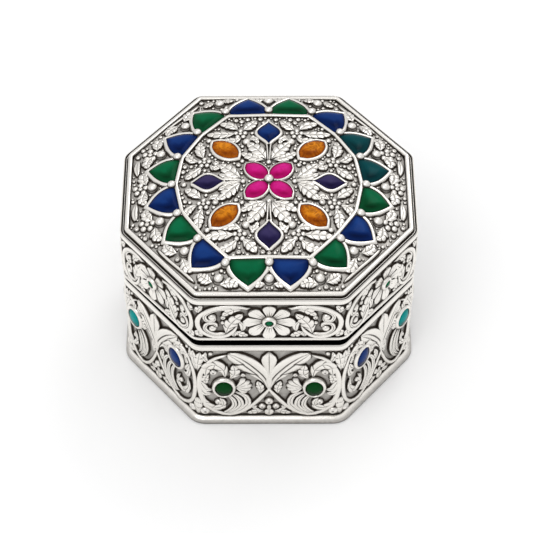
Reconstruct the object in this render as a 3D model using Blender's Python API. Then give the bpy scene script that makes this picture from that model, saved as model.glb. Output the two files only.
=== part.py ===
"""An octagonal silver keepsake box. The domed lid is hinged at the back and set with enamel stones.

The box stands on z = 0 with its front towards -Y. Lengths are in metres.
"""

import math

import bmesh
import bpy
from mathutils import Vector

MM = 0.001

# Plan: an oblong octagon, measured at the outer faces of the rim mouldings
HALF_WIDTH = 36.0 * MM
HALF_DEPTH = 33.3 * MM
FRONT_HALF_FACE = 18.1 * MM
SIDE_HALF_FACE = 12.5 * MM
CORNER_RADIUS = 1.3 * MM
CORNER_STEPS = 2
LEAST_CORNER_RADIUS = 0.15 * MM

# Sheet metal and fits
WALL_THICKNESS = 1.0 * MM
FLOOR_THICKNESS = 1.2 * MM
PANEL_RECESS = 0.7 * MM
SOLDER_GAP = 0.08 * MM
SEAT_GAP = 0.15 * MM
ROOT_DEPTH = 0.2 * MM
COLLAR_CLEARANCE = 0.25 * MM
COLLAR_THICKNESS = 0.7 * MM
COLLAR_DEPTH = 9.0 * MM
COLLAR_RISE = 2.6 * MM

# Base heights
FOOT_HEIGHT = 2.4 * MM
FOOT_OVERHANG = 1.1 * MM
BASE_HEIGHT = 31.6 * MM
BASE_RIM_HEIGHT = 2.1 * MM

# Lid heights
LID_CLEARANCE = 0.25 * MM
THUMB_GAP = 2.0 * MM
LID_EDGE_HEIGHT = 1.0 * MM
LID_WALL_HEIGHT = 15.7 * MM
SHOULDER_HEIGHT = 1.75 * MM
SEAT_DEPTH = 1.25 * MM
SEAT_THICKNESS = 0.6 * MM
SEAT_WIDTH = 1.3 * MM
FRAME_INSET = 0.85 * MM
FRAME_WIDTH = 1.45 * MM
FRAME_HEIGHT = 2.15 * MM
DOME_RISE = 4.35 * MM
DOME_THICKNESS = 0.7 * MM
PLATE_THICKNESS = 0.35 * MM

# Petal ring on the lid
PETALS = 16
BORDER_WIDTH = 8.22 * MM
RING_WIDTH = 0.6 * MM
RING_HEIGHT = 0.75 * MM
BEAD_RADIUS = 1.02 * MM
BEAD_SIDES = 8
BEAD_CLEARANCE = 0.1 * MM
PETAL_TAPER = 1.6
PETAL_SPACE = 0.1 * MM
PETAL_TIP_SPACE = 0.34 * MM
BORDER_BEAD_RADIUS = 1.15 * MM
BORDER_BEAD_DISTANCE = 5.0 * MM

# Settings and stones
SETTING_WALL = 0.65 * MM
SETTING_HEIGHT = 0.8 * MM
SETTING_SHOULDER_SHARE = 0.6
STONE_GIRDLE = 0.45 * MM
STONE_RISE = 0.95 * MM

# Medallion stones: four drops on the axes, four almonds on the diagonals, four centre petals
SIDE_DROP_SPACE = 3.1 * MM
FRONT_DROP_SPACE = 1.4 * MM
DROP_HALF_LENGTH = 4.7 * MM
DROP_HALF_WIDTH = 3.15 * MM
DROP_TAPER = 1.3
ALMOND_OUTER_SPACE = 2.7 * MM
ALMOND_INNER_SPACE = 1.75 * MM
ALMOND_HALF_WIDTH = 3.1 * MM
ALMOND_TAPER = 0.85
CENTRE_PETAL_RADIUS = 4.8 * MM
CENTRE_PETAL_HALF_LENGTH = 3.65 * MM
CENTRE_PETAL_HALF_WIDTH = 2.75 * MM
CENTRE_PETAL_TAPER = 0.75
CENTRE_BEAD_RADIUS = 0.95 * MM
ALMOND_STEPS = 5

# Enamel buttons round the base, two on each face
BUTTON_RADIUS = 2.15 * MM
BUTTON_SETTING_RADIUS = 3.15 * MM
BUTTON_SETTING_HEIGHT = 1.3 * MM
BUTTON_RISE = 0.7 * MM
BUTTON_SIDES = 12
FRONT_BUTTON_HEIGHT = 14.4 * MM
FRONT_BUTTON_OFFSET = 11.2 * MM
DIAGONAL_BUTTON_HEIGHT = 19.8 * MM
DIAGONAL_BUTTON_OFFSET = 8.1 * MM
SIDE_BUTTON_OFFSET = 6.6 * MM
DIAGONAL_SHIFT = 1.85 * MM

# Rosettes round the lid, one on each face
ROSETTE_PETALS = 8
ROSETTE_RADIUS = 5.7 * MM
ROSETTE_VALLEY_SHARE = 0.74
ROSETTE_THICKNESS = 0.4 * MM
ROSETTE_RISE = 0.35 * MM
ROSETTE_LIFT = 9.2 * MM

# Relief. The tables give half widths and points along each form, in millimetres, as drawn on the front
RELIEF_HEIGHT = 0.8 * MM
RELIEF_REACH = 18.1 * MM
RELIEF_MARGIN = 0.1 * MM
PANEL_STEM = (
    (0.5, 0.55, 0.55, 0.55, 0.55, 0.55, 0.55, 0.55, 0.55, 0.55, 0.3),
    ((-0.6, 15.2), (0.6, 12.6), (3.4, 8.0), (6.6, 4.7), (10.2, 3.4), (13.8, 4.9), (16.4, 8.6), (17.4, 14.0),
     (17.1, 19.5), (15.4, 24.2), (9.8, 27.6)),
)
PANEL_PLUME = ((0.4, 1.5, 2.3, 1.9, 0.3), ((0.5, 14.4), (1.4, 18.0), (3.9, 22.6), (6.8, 25.6), (9.8, 27.7)))
PANEL_BUD = ((0.3, 1.0, 1.7, 0.2), ((0.0, 18.6), (0.0, 21.8), (0.0, 25.2), (0.0, 28.4)))
PANEL_BERRIES = (((0.0, 8.6), 1.15), ((16.4, 4.6), 1.3))
BUTTON_LEAVES = (
    ((0.4, 1.4, 1.9, 1.5, 0.3), ((-2.6, 4.4), (-2.3, 7.4), (0.6, 9.8), (3.6, 9.0), (4.7, 6.2))),
    ((1.2, 2.7, 2.0), ((-3.7, 0.5), (-5.3, 0.8), (-7.0, 1.0))),
    ((0.5, 1.5, 1.3, 0.2), ((-2.7, -3.2), (-4.4, -6.2), (-3.4, -9.2), (-0.8, -10.6))),
    ((0.4, 1.1, 1.4, 1.1, 0.3), ((0.6, -4.0), (-0.2, -6.6), (1.6, -8.9), (4.0, -8.0), (4.6, -5.2))),
    ((0.3, 0.8, 0.2), ((3.7, -0.4), (4.9, 1.2), (5.4, 4.2))),
)
MEDALLION_LEAVES = (
    ((0.3, 1.4, 0.2), ((0.75, 7.3), (2.3, 9.8), (4.6, 12.2))),
    ((0.3, 1.2, 0.2), ((7.4, 0.9), (9.4, 2.8), (11.4, 5.2))),
    ((0.3, 1.0, 0.2), ((9.0, 16.3), (11.6, 16.2), (14.4, 16.3))),
    ((0.3, 1.0, 0.2), ((16.1, 8.6), (16.7, 10.8), (16.9, 13.0))),
    ((0.5, 1.6, 1.6, 0.5), ((5.6, 16.3), (6.5, 16.3), (7.7, 16.3), (8.6, 16.3))),
    ((0.5, 1.6, 1.6, 0.5), ((14.2, 6.6), (15.1, 6.6), (16.3, 6.6), (17.2, 6.6))),
)

# Hinge at the back
KNUCKLE_RADIUS = 1.4 * MM
HINGE_PIN_RADIUS = 0.65 * MM
PIN_CLEARANCE = 0.06 * MM
KNUCKLE_COUNT = 5
HINGE_LENGTH = 26.0 * MM
KNUCKLE_GAP = 0.15 * MM
LEAF_THICKNESS = 0.6 * MM
LEAF_HEIGHT = 4.4 * MM
HINGE_SIDES = 12
HINGE_AXIS_Y = HALF_DEPTH + KNUCKLE_RADIUS + LEAF_THICKNESS + 2 * SOLDER_GAP
HINGE_AXIS_Z = BASE_HEIGHT + LID_CLEARANCE / 2

# Derived places
WALL_INSET = PANEL_RECESS + WALL_THICKNESS
COLLAR_INSET = WALL_INSET + COLLAR_CLEARANCE
LID_BOTTOM = BASE_HEIGHT + LID_CLEARANCE
LID_WALL_TOP = LID_BOTTOM + LID_WALL_HEIGHT
SHOULDER_BOTTOM = LID_WALL_TOP + SOLDER_GAP
SHOULDER_TOP = SHOULDER_BOTTOM + SHOULDER_HEIGHT
SHOULDER_SEAT = SHOULDER_TOP - SEAT_DEPTH
FRAME_BOTTOM = SHOULDER_SEAT + SOLDER_GAP
FRAME_TOP = FRAME_BOTTOM + FRAME_HEIGHT
DOME_INSET = FRAME_INSET + FRAME_WIDTH + SOLDER_GAP
DOME_EDGE_HEIGHT = FRAME_BOTTOM + DOME_THICKNESS
PLATE_LIFT = SEAT_GAP + PLATE_THICKNESS
RING_RADIUS = HALF_DEPTH - DOME_INSET - BORDER_WIDTH
PETAL_LENGTH = BORDER_WIDTH - RING_WIDTH / 2 - SOLDER_GAP - PETAL_TIP_SPACE

FACE_NAMES = ("front", "front_right", "right", "back_right", "back", "back_left", "left", "front_left")
SMOOTH_ANGLE = math.radians(35)


def clear_scene():
    for old in list(bpy.data.objects):
        bpy.data.objects.remove(old)


def make_material(name, colour, roughness, metallic=0.0):
    material = bpy.data.materials.new(name)
    material.use_nodes = True
    shader = material.node_tree.nodes["Principled BSDF"]
    shader.inputs["Base Color"].default_value = (*colour, 1.0)
    shader.inputs["Roughness"].default_value = roughness
    shader.inputs["Metallic"].default_value = metallic
    material.diffuse_color = (*colour, 1.0)
    return material


def add_object(name, bm, material, parent=None):
    """Turns a bmesh in world coordinates into a named, smooth-shaded object."""
    bmesh.ops.recalc_face_normals(bm, faces=bm.faces)
    mesh = bpy.data.meshes.new(name)
    bm.to_mesh(mesh)
    bm.free()
    mesh.shade_smooth()
    mesh.set_sharp_from_angle(angle=SMOOTH_ANGLE)
    mesh.materials.append(material)
    obj = bpy.data.objects.new(name, mesh)
    bpy.context.scene.collection.objects.link(obj)
    if parent is not None:
        obj.parent = parent
        obj.matrix_parent_inverse = parent.matrix_world.inverted()
    return obj


# The octagon


def face_lines():
    """(outward normal, distance from the centre) of each face, from the front round anticlockwise."""
    run = HALF_WIDTH - FRONT_HALF_FACE
    rise = HALF_DEPTH - SIDE_HALF_FACE
    slant = Vector((rise, -run)).normalized()
    slant_distance = slant.dot(Vector((FRONT_HALF_FACE, -HALF_DEPTH)))
    return [
        (Vector((0, -1)), HALF_DEPTH),
        (slant, slant_distance),
        (Vector((1, 0)), HALF_WIDTH),
        (Vector((slant.x, -slant.y)), slant_distance),
        (Vector((0, 1)), HALF_DEPTH),
        (Vector((-slant.x, -slant.y)), slant_distance),
        (Vector((-1, 0)), HALF_WIDTH),
        (Vector((-slant.x, slant.y)), slant_distance),
    ]


def meeting_point(line_a, line_b, inset):
    (na, da), (nb, db) = line_a, line_b
    da, db = da - inset, db - inset
    cross = na.x * nb.y - na.y * nb.x
    return Vector(((da * nb.y - db * na.y) / cross, (db * na.x - da * nb.x) / cross))


def octagon_corners(inset):
    lines = face_lines()
    return [meeting_point(lines[i - 1], lines[i], inset) for i in range(len(lines))]


def octagon(inset, splits=1):
    """Points round the octagon, moved inwards by inset, with round corners and faces in splits parts."""
    lines = face_lines()
    count = len(lines)
    corners = octagon_corners(inset)
    radius = max(CORNER_RADIUS - inset, LEAST_CORNER_RADIUS)
    arcs = []
    for i, corner in enumerate(corners):
        before, after = lines[i - 1][0], lines[i][0]
        turn = before.angle(after)
        centre = corner - (before + after).normalized() * radius / math.cos(turn / 2)
        turns = [before.slerp(after, k / CORNER_STEPS) for k in range(CORNER_STEPS + 1)]
        arcs.append([centre + direction * radius for direction in turns])
    points = []
    for i in range(count):
        points += arcs[i]
        start, end = arcs[i][-1], arcs[(i + 1) % count][0]
        points += [start.lerp(end, k / splits) for k in range(1, splits)]
    return points


def unite(target, bm, label):
    """Joins closed bodies to an object that they are sunk into. They may overlap each other."""
    cutter = add_object(f"{target.name}_{label}", bm, target.data.materials[0])
    cutter.hide_render = True
    cutter.display_type = "WIRE"
    union = target.modifiers.new(label, "BOOLEAN")
    union.operation = "UNION"
    union.object = cutter
    union.use_self = True


def bridge(bm, loops, closed_profile):
    """Faces between neighbouring loops of vertices, and from last to first if closed_profile."""
    pairs = list(zip(loops, loops[1:]))
    if closed_profile:
        pairs.append((loops[-1], loops[0]))
    for low, high in pairs:
        count = len(low)
        for i in range(count):
            j = (i + 1) % count
            bm.faces.new((low[i], low[j], high[j], high[i]))


def octagon_ring(name, profile, material, parent=None, splits=1):
    """A closed profile of (inset, height) carried round the octagon. A height may depend on the point."""
    bm = bmesh.new()
    loops = []
    for inset, height in profile:
        points = octagon(inset, splits)
        heights = [height(p) if callable(height) else height for p in points]
        loops.append([bm.verts.new((p.x, p.y, z)) for p, z in zip(points, heights)])
    bridge(bm, loops, closed_profile=True)
    return add_object(name, bm, material, parent)


# The base


def lid_edge(point):
    """Height of the lid's lower edge: level at the back, and rising towards the front as a thumb gap."""
    share = max(0.0, -point.y / HALF_DEPTH)
    return LID_BOTTOM + THUMB_GAP * share


def make_base(silver):
    """The box's tray: floor, wall, foot, rim and the inner collar that the lid closes over."""
    bm = bmesh.new()
    floor_inset = WALL_INSET + SOLDER_GAP
    loops = []
    for height in (0.0, FLOOR_THICKNESS):
        loops.append([bm.verts.new((p.x, p.y, height)) for p in octagon(floor_inset)])
    bridge(bm, loops, closed_profile=False)
    for loop in loops:
        bm.faces.new(loop)
    add_object("base_floor", bm, silver)
    wall = octagon_ring(
        "base_wall",
        [
            (PANEL_RECESS, 0.0),
            (PANEL_RECESS, BASE_HEIGHT),
            (WALL_INSET, BASE_HEIGHT),
            (WALL_INSET, 0.0),
        ],
        silver,
    )
    add_button_settings(wall)
    add_base_relief(wall)
    foot_inner = PANEL_RECESS - SOLDER_GAP
    octagon_ring(
        "foot_moulding",
        [
            (foot_inner, 0.0),
            (-0.75 * FOOT_OVERHANG, 0.0),
            (-FOOT_OVERHANG, 0.18 * FOOT_HEIGHT),
            (-FOOT_OVERHANG, 0.5 * FOOT_HEIGHT),
            (-0.6 * FOOT_OVERHANG, 0.82 * FOOT_HEIGHT),
            (0.0, FOOT_HEIGHT),
            (foot_inner, FOOT_HEIGHT),
        ],
        silver,
    )
    rim_bottom = BASE_HEIGHT - BASE_RIM_HEIGHT
    octagon_ring(
        "base_rim_moulding",
        [
            (foot_inner, rim_bottom),
            (0.25 * PANEL_RECESS, rim_bottom),
            (0.0, rim_bottom + 0.25 * BASE_RIM_HEIGHT),
            (0.0, BASE_HEIGHT - 0.15 * BASE_RIM_HEIGHT),
            (0.25 * PANEL_RECESS, BASE_HEIGHT),
            (foot_inner, BASE_HEIGHT),
        ],
        silver,
    )
    collar_top = BASE_HEIGHT + COLLAR_RISE
    collar_foot = BASE_HEIGHT - COLLAR_DEPTH
    collar_inner = COLLAR_INSET + COLLAR_THICKNESS
    octagon_ring(
        "inner_collar",
        [
            (COLLAR_INSET, collar_foot),
            (COLLAR_INSET, collar_top - 0.3 * COLLAR_THICKNESS),
            (COLLAR_INSET + 0.3 * COLLAR_THICKNESS, collar_top),
            (collar_inner, collar_top),
            (collar_inner, collar_foot),
        ],
        silver,
    )


# The lid's shell


def make_lid_shell(silver, pivot):
    """The lid's wall, its lower moulding, the stepped shoulder and the raised frame on it."""
    wall = octagon_ring(
        "lid_wall",
        [
            (PANEL_RECESS, lid_edge),
            (PANEL_RECESS, LID_WALL_TOP),
            (WALL_INSET, LID_WALL_TOP),
            (WALL_INSET, lid_edge),
        ],
        silver,
        pivot,
        splits=2,
    )
    add_rosettes(wall)
    edge_inner = PANEL_RECESS - SOLDER_GAP
    octagon_ring(
        "lid_edge_moulding",
        [
            (edge_inner, lid_edge),
            (0.3 * PANEL_RECESS, lid_edge),
            (0.0, lambda p: lid_edge(p) + 0.25 * LID_EDGE_HEIGHT),
            (0.0, lambda p: lid_edge(p) + 0.7 * LID_EDGE_HEIGHT),
            (0.3 * PANEL_RECESS, lambda p: lid_edge(p) + LID_EDGE_HEIGHT),
            (edge_inner, lambda p: lid_edge(p) + LID_EDGE_HEIGHT),
        ],
        silver,
        pivot,
        splits=2,
    )
    seat_outer = FRAME_INSET - SOLDER_GAP
    locating_inset = WALL_INSET + SOLDER_GAP
    octagon_ring(
        "lid_shoulder",
        [
            (0.3 * PANEL_RECESS, SHOULDER_BOTTOM),
            (0.0, SHOULDER_BOTTOM + 0.25 * SHOULDER_HEIGHT),
            (0.0, SHOULDER_TOP - 0.25 * SHOULDER_HEIGHT),
            (0.3 * PANEL_RECESS, SHOULDER_TOP),
            (seat_outer, SHOULDER_TOP),
            (seat_outer, SHOULDER_SEAT),
            (DOME_INSET + SEAT_WIDTH, SHOULDER_SEAT),
            (DOME_INSET + SEAT_WIDTH, SHOULDER_SEAT - SEAT_THICKNESS),
            (locating_inset, SHOULDER_SEAT - SEAT_THICKNESS),
            (locating_inset, SHOULDER_BOTTOM),
        ],
        silver,
        pivot,
    )
    octagon_ring(
        "lid_frame",
        [
            (FRAME_INSET, FRAME_BOTTOM),
            (FRAME_INSET, FRAME_TOP - 0.2 * FRAME_HEIGHT),
            (FRAME_INSET + 0.2 * FRAME_WIDTH, FRAME_TOP),
            (FRAME_INSET + 0.8 * FRAME_WIDTH, FRAME_TOP),
            (FRAME_INSET + FRAME_WIDTH, FRAME_TOP - 0.2 * FRAME_HEIGHT),
            (FRAME_INSET + FRAME_WIDTH, FRAME_BOTTOM),
        ],
        silver,
        pivot,
    )


def dome_height(x, y):
    """Height of the lid's domed top, under the ornamental plates. Its corners rest on the shoulder."""
    reach_squared = max(corner.length_squared for corner in octagon_corners(DOME_INSET))
    return DOME_EDGE_HEIGHT + DOME_RISE * (1 - (x * x + y * y) / reach_squared)


def ground_height(x, y):
    """Height of the plates' upper surface, from which stones and settings stand up."""
    return dome_height(x, y) + PLATE_LIFT


def fill_fan(bm, loop, centre):
    """Triangles from a centre vertex to a loop."""
    for i, vertex in enumerate(loop):
        bm.faces.new((centre, vertex, loop[(i + 1) % len(loop)]))


def make_dome(silver, pivot):
    bm = bmesh.new()
    outline = octagon(DOME_INSET, splits=3)
    shares = (0.25, 0.48, 0.7, 0.87, 1.0)

    def skin(drop):
        centre = bm.verts.new((0, 0, dome_height(0, 0) - drop))
        loops = []
        for share in shares:
            ring = [p * share for p in outline]
            loops.append([bm.verts.new((p.x, p.y, dome_height(p.x, p.y) - drop)) for p in ring])
        bridge(bm, loops, closed_profile=False)
        fill_fan(bm, loops[0], centre)
        return loops[-1]

    bridge(bm, [skin(0.0), skin(DOME_THICKNESS)], closed_profile=False)
    add_object("lid_dome", bm, silver, pivot)


# Stones and settings on the dome


def signed_area(points):
    return sum(a.x * b.y - b.x * a.y for a, b in zip(points, points[1:] + points[:1])) / 2


def inset_outline(points, distance):
    """A convex outline, run anticlockwise, with each side moved inwards by distance."""
    if signed_area(points) < 0:
        points = points[::-1]
    normals = [normal for normal, _ in outline_lines(points)]
    moved = []
    for i, point in enumerate(points):
        before, after = normals[i - 1], normals[i]
        moved.append(point - (before + after) * distance / (1 + before.dot(after)))
    return moved


def outline_lines(points):
    """(normal, distance) of each side of a convex outline that runs anticlockwise."""
    lines = []
    for a, b in zip(points, points[1:] + points[:1]):
        normal = Vector((b.y - a.y, a.x - b.x)).normalized()
        lines.append((normal, normal.dot(a)))
    return lines


def reach(lines, direction):
    """Point where a ray from the centre leaves the convex outline of those lines."""
    return direction * min(d / normal.dot(direction) for normal, d in lines if normal.dot(direction) > 1e-6)


def grounded(bm, points, lift):
    """Vertices over the dome, lift above the plates' upper surface."""
    return [bm.verts.new((p.x, p.y, ground_height(p.x, p.y) + lift)) for p in points]


def add_setting(bm, outline, wall=SETTING_WALL, height=SETTING_HEIGHT, root=ROOT_DEPTH):
    """A raised silver wall that follows the outline, sloped on top, with its root below the ground."""
    outer = inset_outline(outline, 0.0)
    inner = inset_outline(outline, wall)
    loops = [
        grounded(bm, outer, -root),
        grounded(bm, outer, SETTING_SHOULDER_SHARE * height),
        grounded(bm, inset_outline(outline, wall / 2), height),
        grounded(bm, inner, -root),
    ]
    bridge(bm, loops, closed_profile=True)


def add_stone(name, outline, material, pivot):
    """A cabochon that fills the setting of that outline."""
    bm = bmesh.new()
    girdle = inset_outline(outline, SETTING_WALL + SOLDER_GAP)
    centre = sum(girdle, Vector((0, 0))) / len(girdle)
    loops = [grounded(bm, girdle, SEAT_GAP)]
    for scale, rise in ((1.0, 0.0), (0.78, 0.55), (0.42, 0.9)):
        ring = [centre.lerp(p, scale) for p in girdle]
        loops.append(grounded(bm, ring, STONE_GIRDLE + STONE_RISE * rise))
    bridge(bm, loops, closed_profile=False)
    bm.faces.new(loops[0])
    fill_fan(bm, loops[-1], grounded(bm, [centre], STONE_GIRDLE + STONE_RISE)[0])
    add_object(name, bm, material, pivot)


def add_bead(bm, place, radius):
    """A round grain of silver, sunk a little into the ground."""
    made = bmesh.ops.create_uvsphere(bm, u_segments=BEAD_SIDES, v_segments=BEAD_SIDES // 2, radius=radius)
    height = ground_height(place.x, place.y) + radius - ROOT_DEPTH
    bmesh.ops.translate(bm, verts=made["verts"], vec=(place.x, place.y, height))


def add_form(bm, place, half_widths, points, order, height=RELIEF_HEIGHT):
    """A form of the relief along a line of points: a flat-topped bar with sloping sides and a root.

    place turns (x, y, height) on the ground into a point. Each form has its own order, so that no two
    tops or roots that cross lie in one plane.
    """
    root = ROOT_DEPTH * (1 + 0.035 * order)
    top = height * (1 - 0.006 * order)
    loops = []
    for i, (point, half) in enumerate(zip(points, half_widths)):
        along = (points[min(i + 1, len(points) - 1)] - points[max(i - 1, 0)]).normalized()
        across = Vector((-along.y, along.x)) * half
        section = ((across, -root), (across * 0.55, top), (across * -0.55, top), (-across, -root))
        places = [place(point.x + step.x, point.y + step.y, rise) for step, rise in section]
        loops.append([bm.verts.new(p) for p in places])
    bridge(bm, loops, closed_profile=False)
    bm.faces.new(loops[0])
    bm.faces.new(loops[-1])


def add_plate(name, inner_lines, outer_lines, angles, shares, material, pivot):
    """A thin plate over the dome, out to one convex outline, and with the other as its hole if given."""
    bm = bmesh.new()
    directions = [direction_at(a) for a in angles]

    def skin(lift):
        loops = []
        for share in shares:
            ends = [reach(outer_lines, d) for d in directions]
            starts = [reach(inner_lines, d) if inner_lines else Vector((0, 0)) for d in directions]
            loops.append(grounded(bm, [s.lerp(e, share) for s, e in zip(starts, ends)], lift))
        bridge(bm, loops, closed_profile=False)
        if not inner_lines:
            fill_fan(bm, loops[0], grounded(bm, [Vector((0, 0))], lift)[0])
        return loops

    top, bottom = skin(0.0), skin(-PLATE_THICKNESS)
    bridge(bm, [top[-1], bottom[-1]], closed_profile=False)
    if inner_lines:
        bridge(bm, [top[0], bottom[0]], closed_profile=False)
    return add_object(name, bm, material, pivot)


def direction_at(degrees):
    return Vector((math.cos(math.radians(degrees)), math.sin(math.radians(degrees))))


def ring_angle(index):
    return -90 + 360 / PETALS * index


def ring_corner(index):
    """Corner of the sixteen-sided medallion ring. Its front and back sides are straight over two petals."""
    beside_straight = index % (PETALS // 2) in (1, PETALS // 2 - 1)
    radius = RING_RADIUS / math.cos(2 * math.pi / PETALS) if beside_straight else RING_RADIUS
    return direction_at(ring_angle(index)) * radius


def ring_outline(outward):
    """The medallion ring's outline, moved outwards."""
    return inset_outline([ring_corner(i) for i in range(PETALS)], -outward)


def petal_sides():
    """Start and end of the straight side of each petal, just outside the ring."""
    corners = ring_outline(RING_WIDTH / 2 + SOLDER_GAP)
    return list(zip(corners, corners[1:] + corners[:1]))


def petal_outline(start, end):
    """A pointed arch on that side, with its two lower corners cut off to clear the beads."""
    along = (end - start).normalized()
    outward = Vector((along.y, -along.x))
    half = (end - start).length / 2
    half_width = half - PETAL_SPACE
    cut = BEAD_RADIUS + math.sqrt(2) * (BEAD_RADIUS + BEAD_CLEARANCE - SETTING_WALL - SOLDER_GAP)
    right = [Vector((half_width - cut, 0.0))]
    for share in (0.0, 0.28, 0.52, 0.76):
        width = half_width * (1 - share**PETAL_TAPER)
        right.append(Vector((width, cut + share * (PETAL_LENGTH - cut))))
    left = [Vector((-p.x, p.y)) for p in reversed(right)]
    middle = (start + end) / 2
    return [middle + along * p.x + outward * p.y for p in [*right, Vector((0.0, PETAL_LENGTH)), *left]]


def almond(centre, direction, half_length, half_width, taper):
    """A leaf outline pointed at both ends. A taper above 1 draws the points out."""
    across = Vector((-direction.y, direction.x))
    stations = [-math.cos(math.pi * k / ALMOND_STEPS) for k in range(1, ALMOND_STEPS)]
    widths = [half_width * (1 - s * s) ** taper for s in stations]
    right = [centre + direction * s * half_length - across * w for s, w in zip(stations, widths)]
    left = [centre + direction * s * half_length + across * w for s, w in zip(stations, widths)]
    ends = [centre - direction * half_length, centre + direction * half_length]
    return [ends[0], *right, ends[1], *reversed(left)]


def make_petal_ring(silver, enamels, pivot):
    """The medallion ring, and round it the border plate with sixteen petal stones and beads."""
    ring = bmesh.new()
    add_setting(ring, ring_outline(RING_WIDTH / 2), RING_WIDTH, RING_HEIGHT, PLATE_THICKNESS)
    add_object("medallion_ring", ring, silver, pivot)
    inner_lines = outline_lines(ring_outline(RING_WIDTH / 2 + SOLDER_GAP))
    outer_lines = [(normal, d - DOME_INSET - SOLDER_GAP) for normal, d in face_lines()]
    corner_angles = [math.degrees(math.atan2(p.y, p.x)) for p in octagon_corners(DOME_INSET + SOLDER_GAP)]
    angles = sorted({round(a % 360, 3) for a in [ring_angle(i) for i in range(PETALS)] + corner_angles})
    shares = (0.0, 0.4, 0.75, 1.0)
    border = add_plate("border_plate", inner_lines, outer_lines, angles, shares, silver, pivot)
    colours = ["blue", "green"] * (PETALS // 2)
    colours[4:6] = ["teal", "teal"]
    ornament = bmesh.new()
    for i, (start, end) in enumerate(petal_sides()):
        outline = petal_outline(start, end)
        add_setting(ornament, outline)
        add_stone(f"petal_stone_{i + 1:02d}", outline, enamels[colours[i]], pivot)
        place = start + start.normalized() * BEAD_RADIUS
        add_bead(ornament, place, BEAD_RADIUS)
        add_bead(ornament, place + place.normalized() * BORDER_BEAD_DISTANCE, BORDER_BEAD_RADIUS)
    unite(border, ornament, "ornament")


def medallion_relief():
    """Leaves and flowers between the stones, the same in each quarter. They grow with the ring."""
    relief = bmesh.new()
    scale = RING_RADIUS / 22.7

    def on_plate(x, y, rise):
        return (x, y, ground_height(x, y) + rise)

    for across, along in ((1, 1), (-1, 1), (-1, -1), (1, -1)):
        for order, (half_widths, drawn) in enumerate(MEDALLION_LEAVES):
            points = [Vector((across * x, along * y)) * scale for x, y in drawn]
            add_form(relief, on_plate, [half * scale for half in half_widths], points, order)
    return relief


def make_medallion(silver, enamels, pivot):
    """The plate inside the ring, with four drops, four almonds, four centre petals and a bead."""
    outer_lines = outline_lines(ring_outline(-RING_WIDTH / 2 - SOLDER_GAP))
    angles = [ring_angle(i) for i in range(PETALS)]
    plate = add_plate("medallion_plate", None, outer_lines, angles, (0.36, 0.7, 1.0), silver, pivot)
    ornament = bmesh.new()
    drop_colours = ("violet", "violet", "blue", "violet")
    for k, side in enumerate(("front", "right", "back", "left")):
        towards = direction_at(-90 + 90 * k)
        radius = RING_RADIUS - DROP_HALF_LENGTH - (FRONT_DROP_SPACE if k % 2 == 0 else SIDE_DROP_SPACE)
        outline = almond(towards * radius, towards, DROP_HALF_LENGTH, DROP_HALF_WIDTH, DROP_TAPER)
        add_setting(ornament, outline)
        add_stone(f"drop_stone_{side}", outline, enamels[drop_colours[k]], pivot)
    almond_start = CENTRE_PETAL_RADIUS + CENTRE_PETAL_HALF_LENGTH + ALMOND_INNER_SPACE
    almond_end = RING_RADIUS - ALMOND_OUTER_SPACE
    for k in range(4):
        towards = direction_at(-45 + 90 * k)
        centre = towards * (almond_start + almond_end) / 2
        half_length = (almond_end - almond_start) / 2
        outline = almond(centre, towards, half_length, ALMOND_HALF_WIDTH, ALMOND_TAPER)
        add_setting(ornament, outline)
        add_stone(f"almond_stone_{k + 1}", outline, enamels["amber"], pivot)
        centre = towards * CENTRE_PETAL_RADIUS
        half_width = CENTRE_PETAL_HALF_WIDTH
        outline = almond(centre, towards, CENTRE_PETAL_HALF_LENGTH, half_width, CENTRE_PETAL_TAPER)
        add_setting(ornament, outline)
        add_stone(f"centre_petal_{k + 1}", outline, enamels["pink"], pivot)
    add_bead(ornament, Vector((0.0, 0.0)), CENTRE_BEAD_RADIUS)
    unite(plate, ornament, "ornament")
    unite(plate, medallion_relief(), "relief")


# Buttons and rosettes on the upright faces


def face_frame(index):
    """Middle of a wall panel at z = 0, its direction to the right seen from outside, and its normal."""
    normal = face_lines()[index][0]
    corners = octagon_corners(PANEL_RECESS)
    middle = (corners[index] + corners[(index + 1) % len(corners)]) / 2
    return middle, Vector((-normal.y, normal.x)), normal


def on_face(frame, offset, height, proud):
    middle, along, normal = frame
    point = middle + along * offset + normal * proud
    return (point.x, point.y, height)


def face_loop(bm, frame, offset, height, radii, proud):
    """A loop of vertices round a point of a face. A radius is given for each corner."""
    count = len(radii)
    loop = []
    for k, radius in enumerate(radii):
        angle = 2 * math.pi * k / count
        place = on_face(frame, offset + radius * math.sin(angle), height + radius * math.cos(angle), proud)
        loop.append(bm.verts.new(place))
    return loop


def add_face_boss(bm, frame, offset, height, radii, root, proud, rise):
    """A low dome on a face, from root to proud of the panel at its edge and rise more at its middle."""
    round_radii = [0.5 * min(radii)] * len(radii)
    sections = ((radii, root), (radii, proud), (round_radii, proud + 0.75 * rise))
    loops = [face_loop(bm, frame, offset, height, edge, out) for edge, out in sections]
    bridge(bm, loops, closed_profile=False)
    bm.faces.new(loops[0])
    fill_fan(bm, loops[-1], bm.verts.new(on_face(frame, offset, height, proud + rise)))


def add_face_ring(bm, frame, offset, height, outer_radius, inner_radius, proud):
    """A ring on a face, sloped inwards to its rim, with its root in the wall."""
    rim_radius = inner_radius + 0.35 * (outer_radius - inner_radius)
    sections = (
        (outer_radius, -ROOT_DEPTH),
        (outer_radius, 0.45 * proud),
        (rim_radius, proud),
        (inner_radius, -ROOT_DEPTH),
    )
    loops = [face_loop(bm, frame, offset, height, [r] * BUTTON_SIDES, out) for r, out in sections]
    bridge(bm, loops, closed_profile=True)


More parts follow.
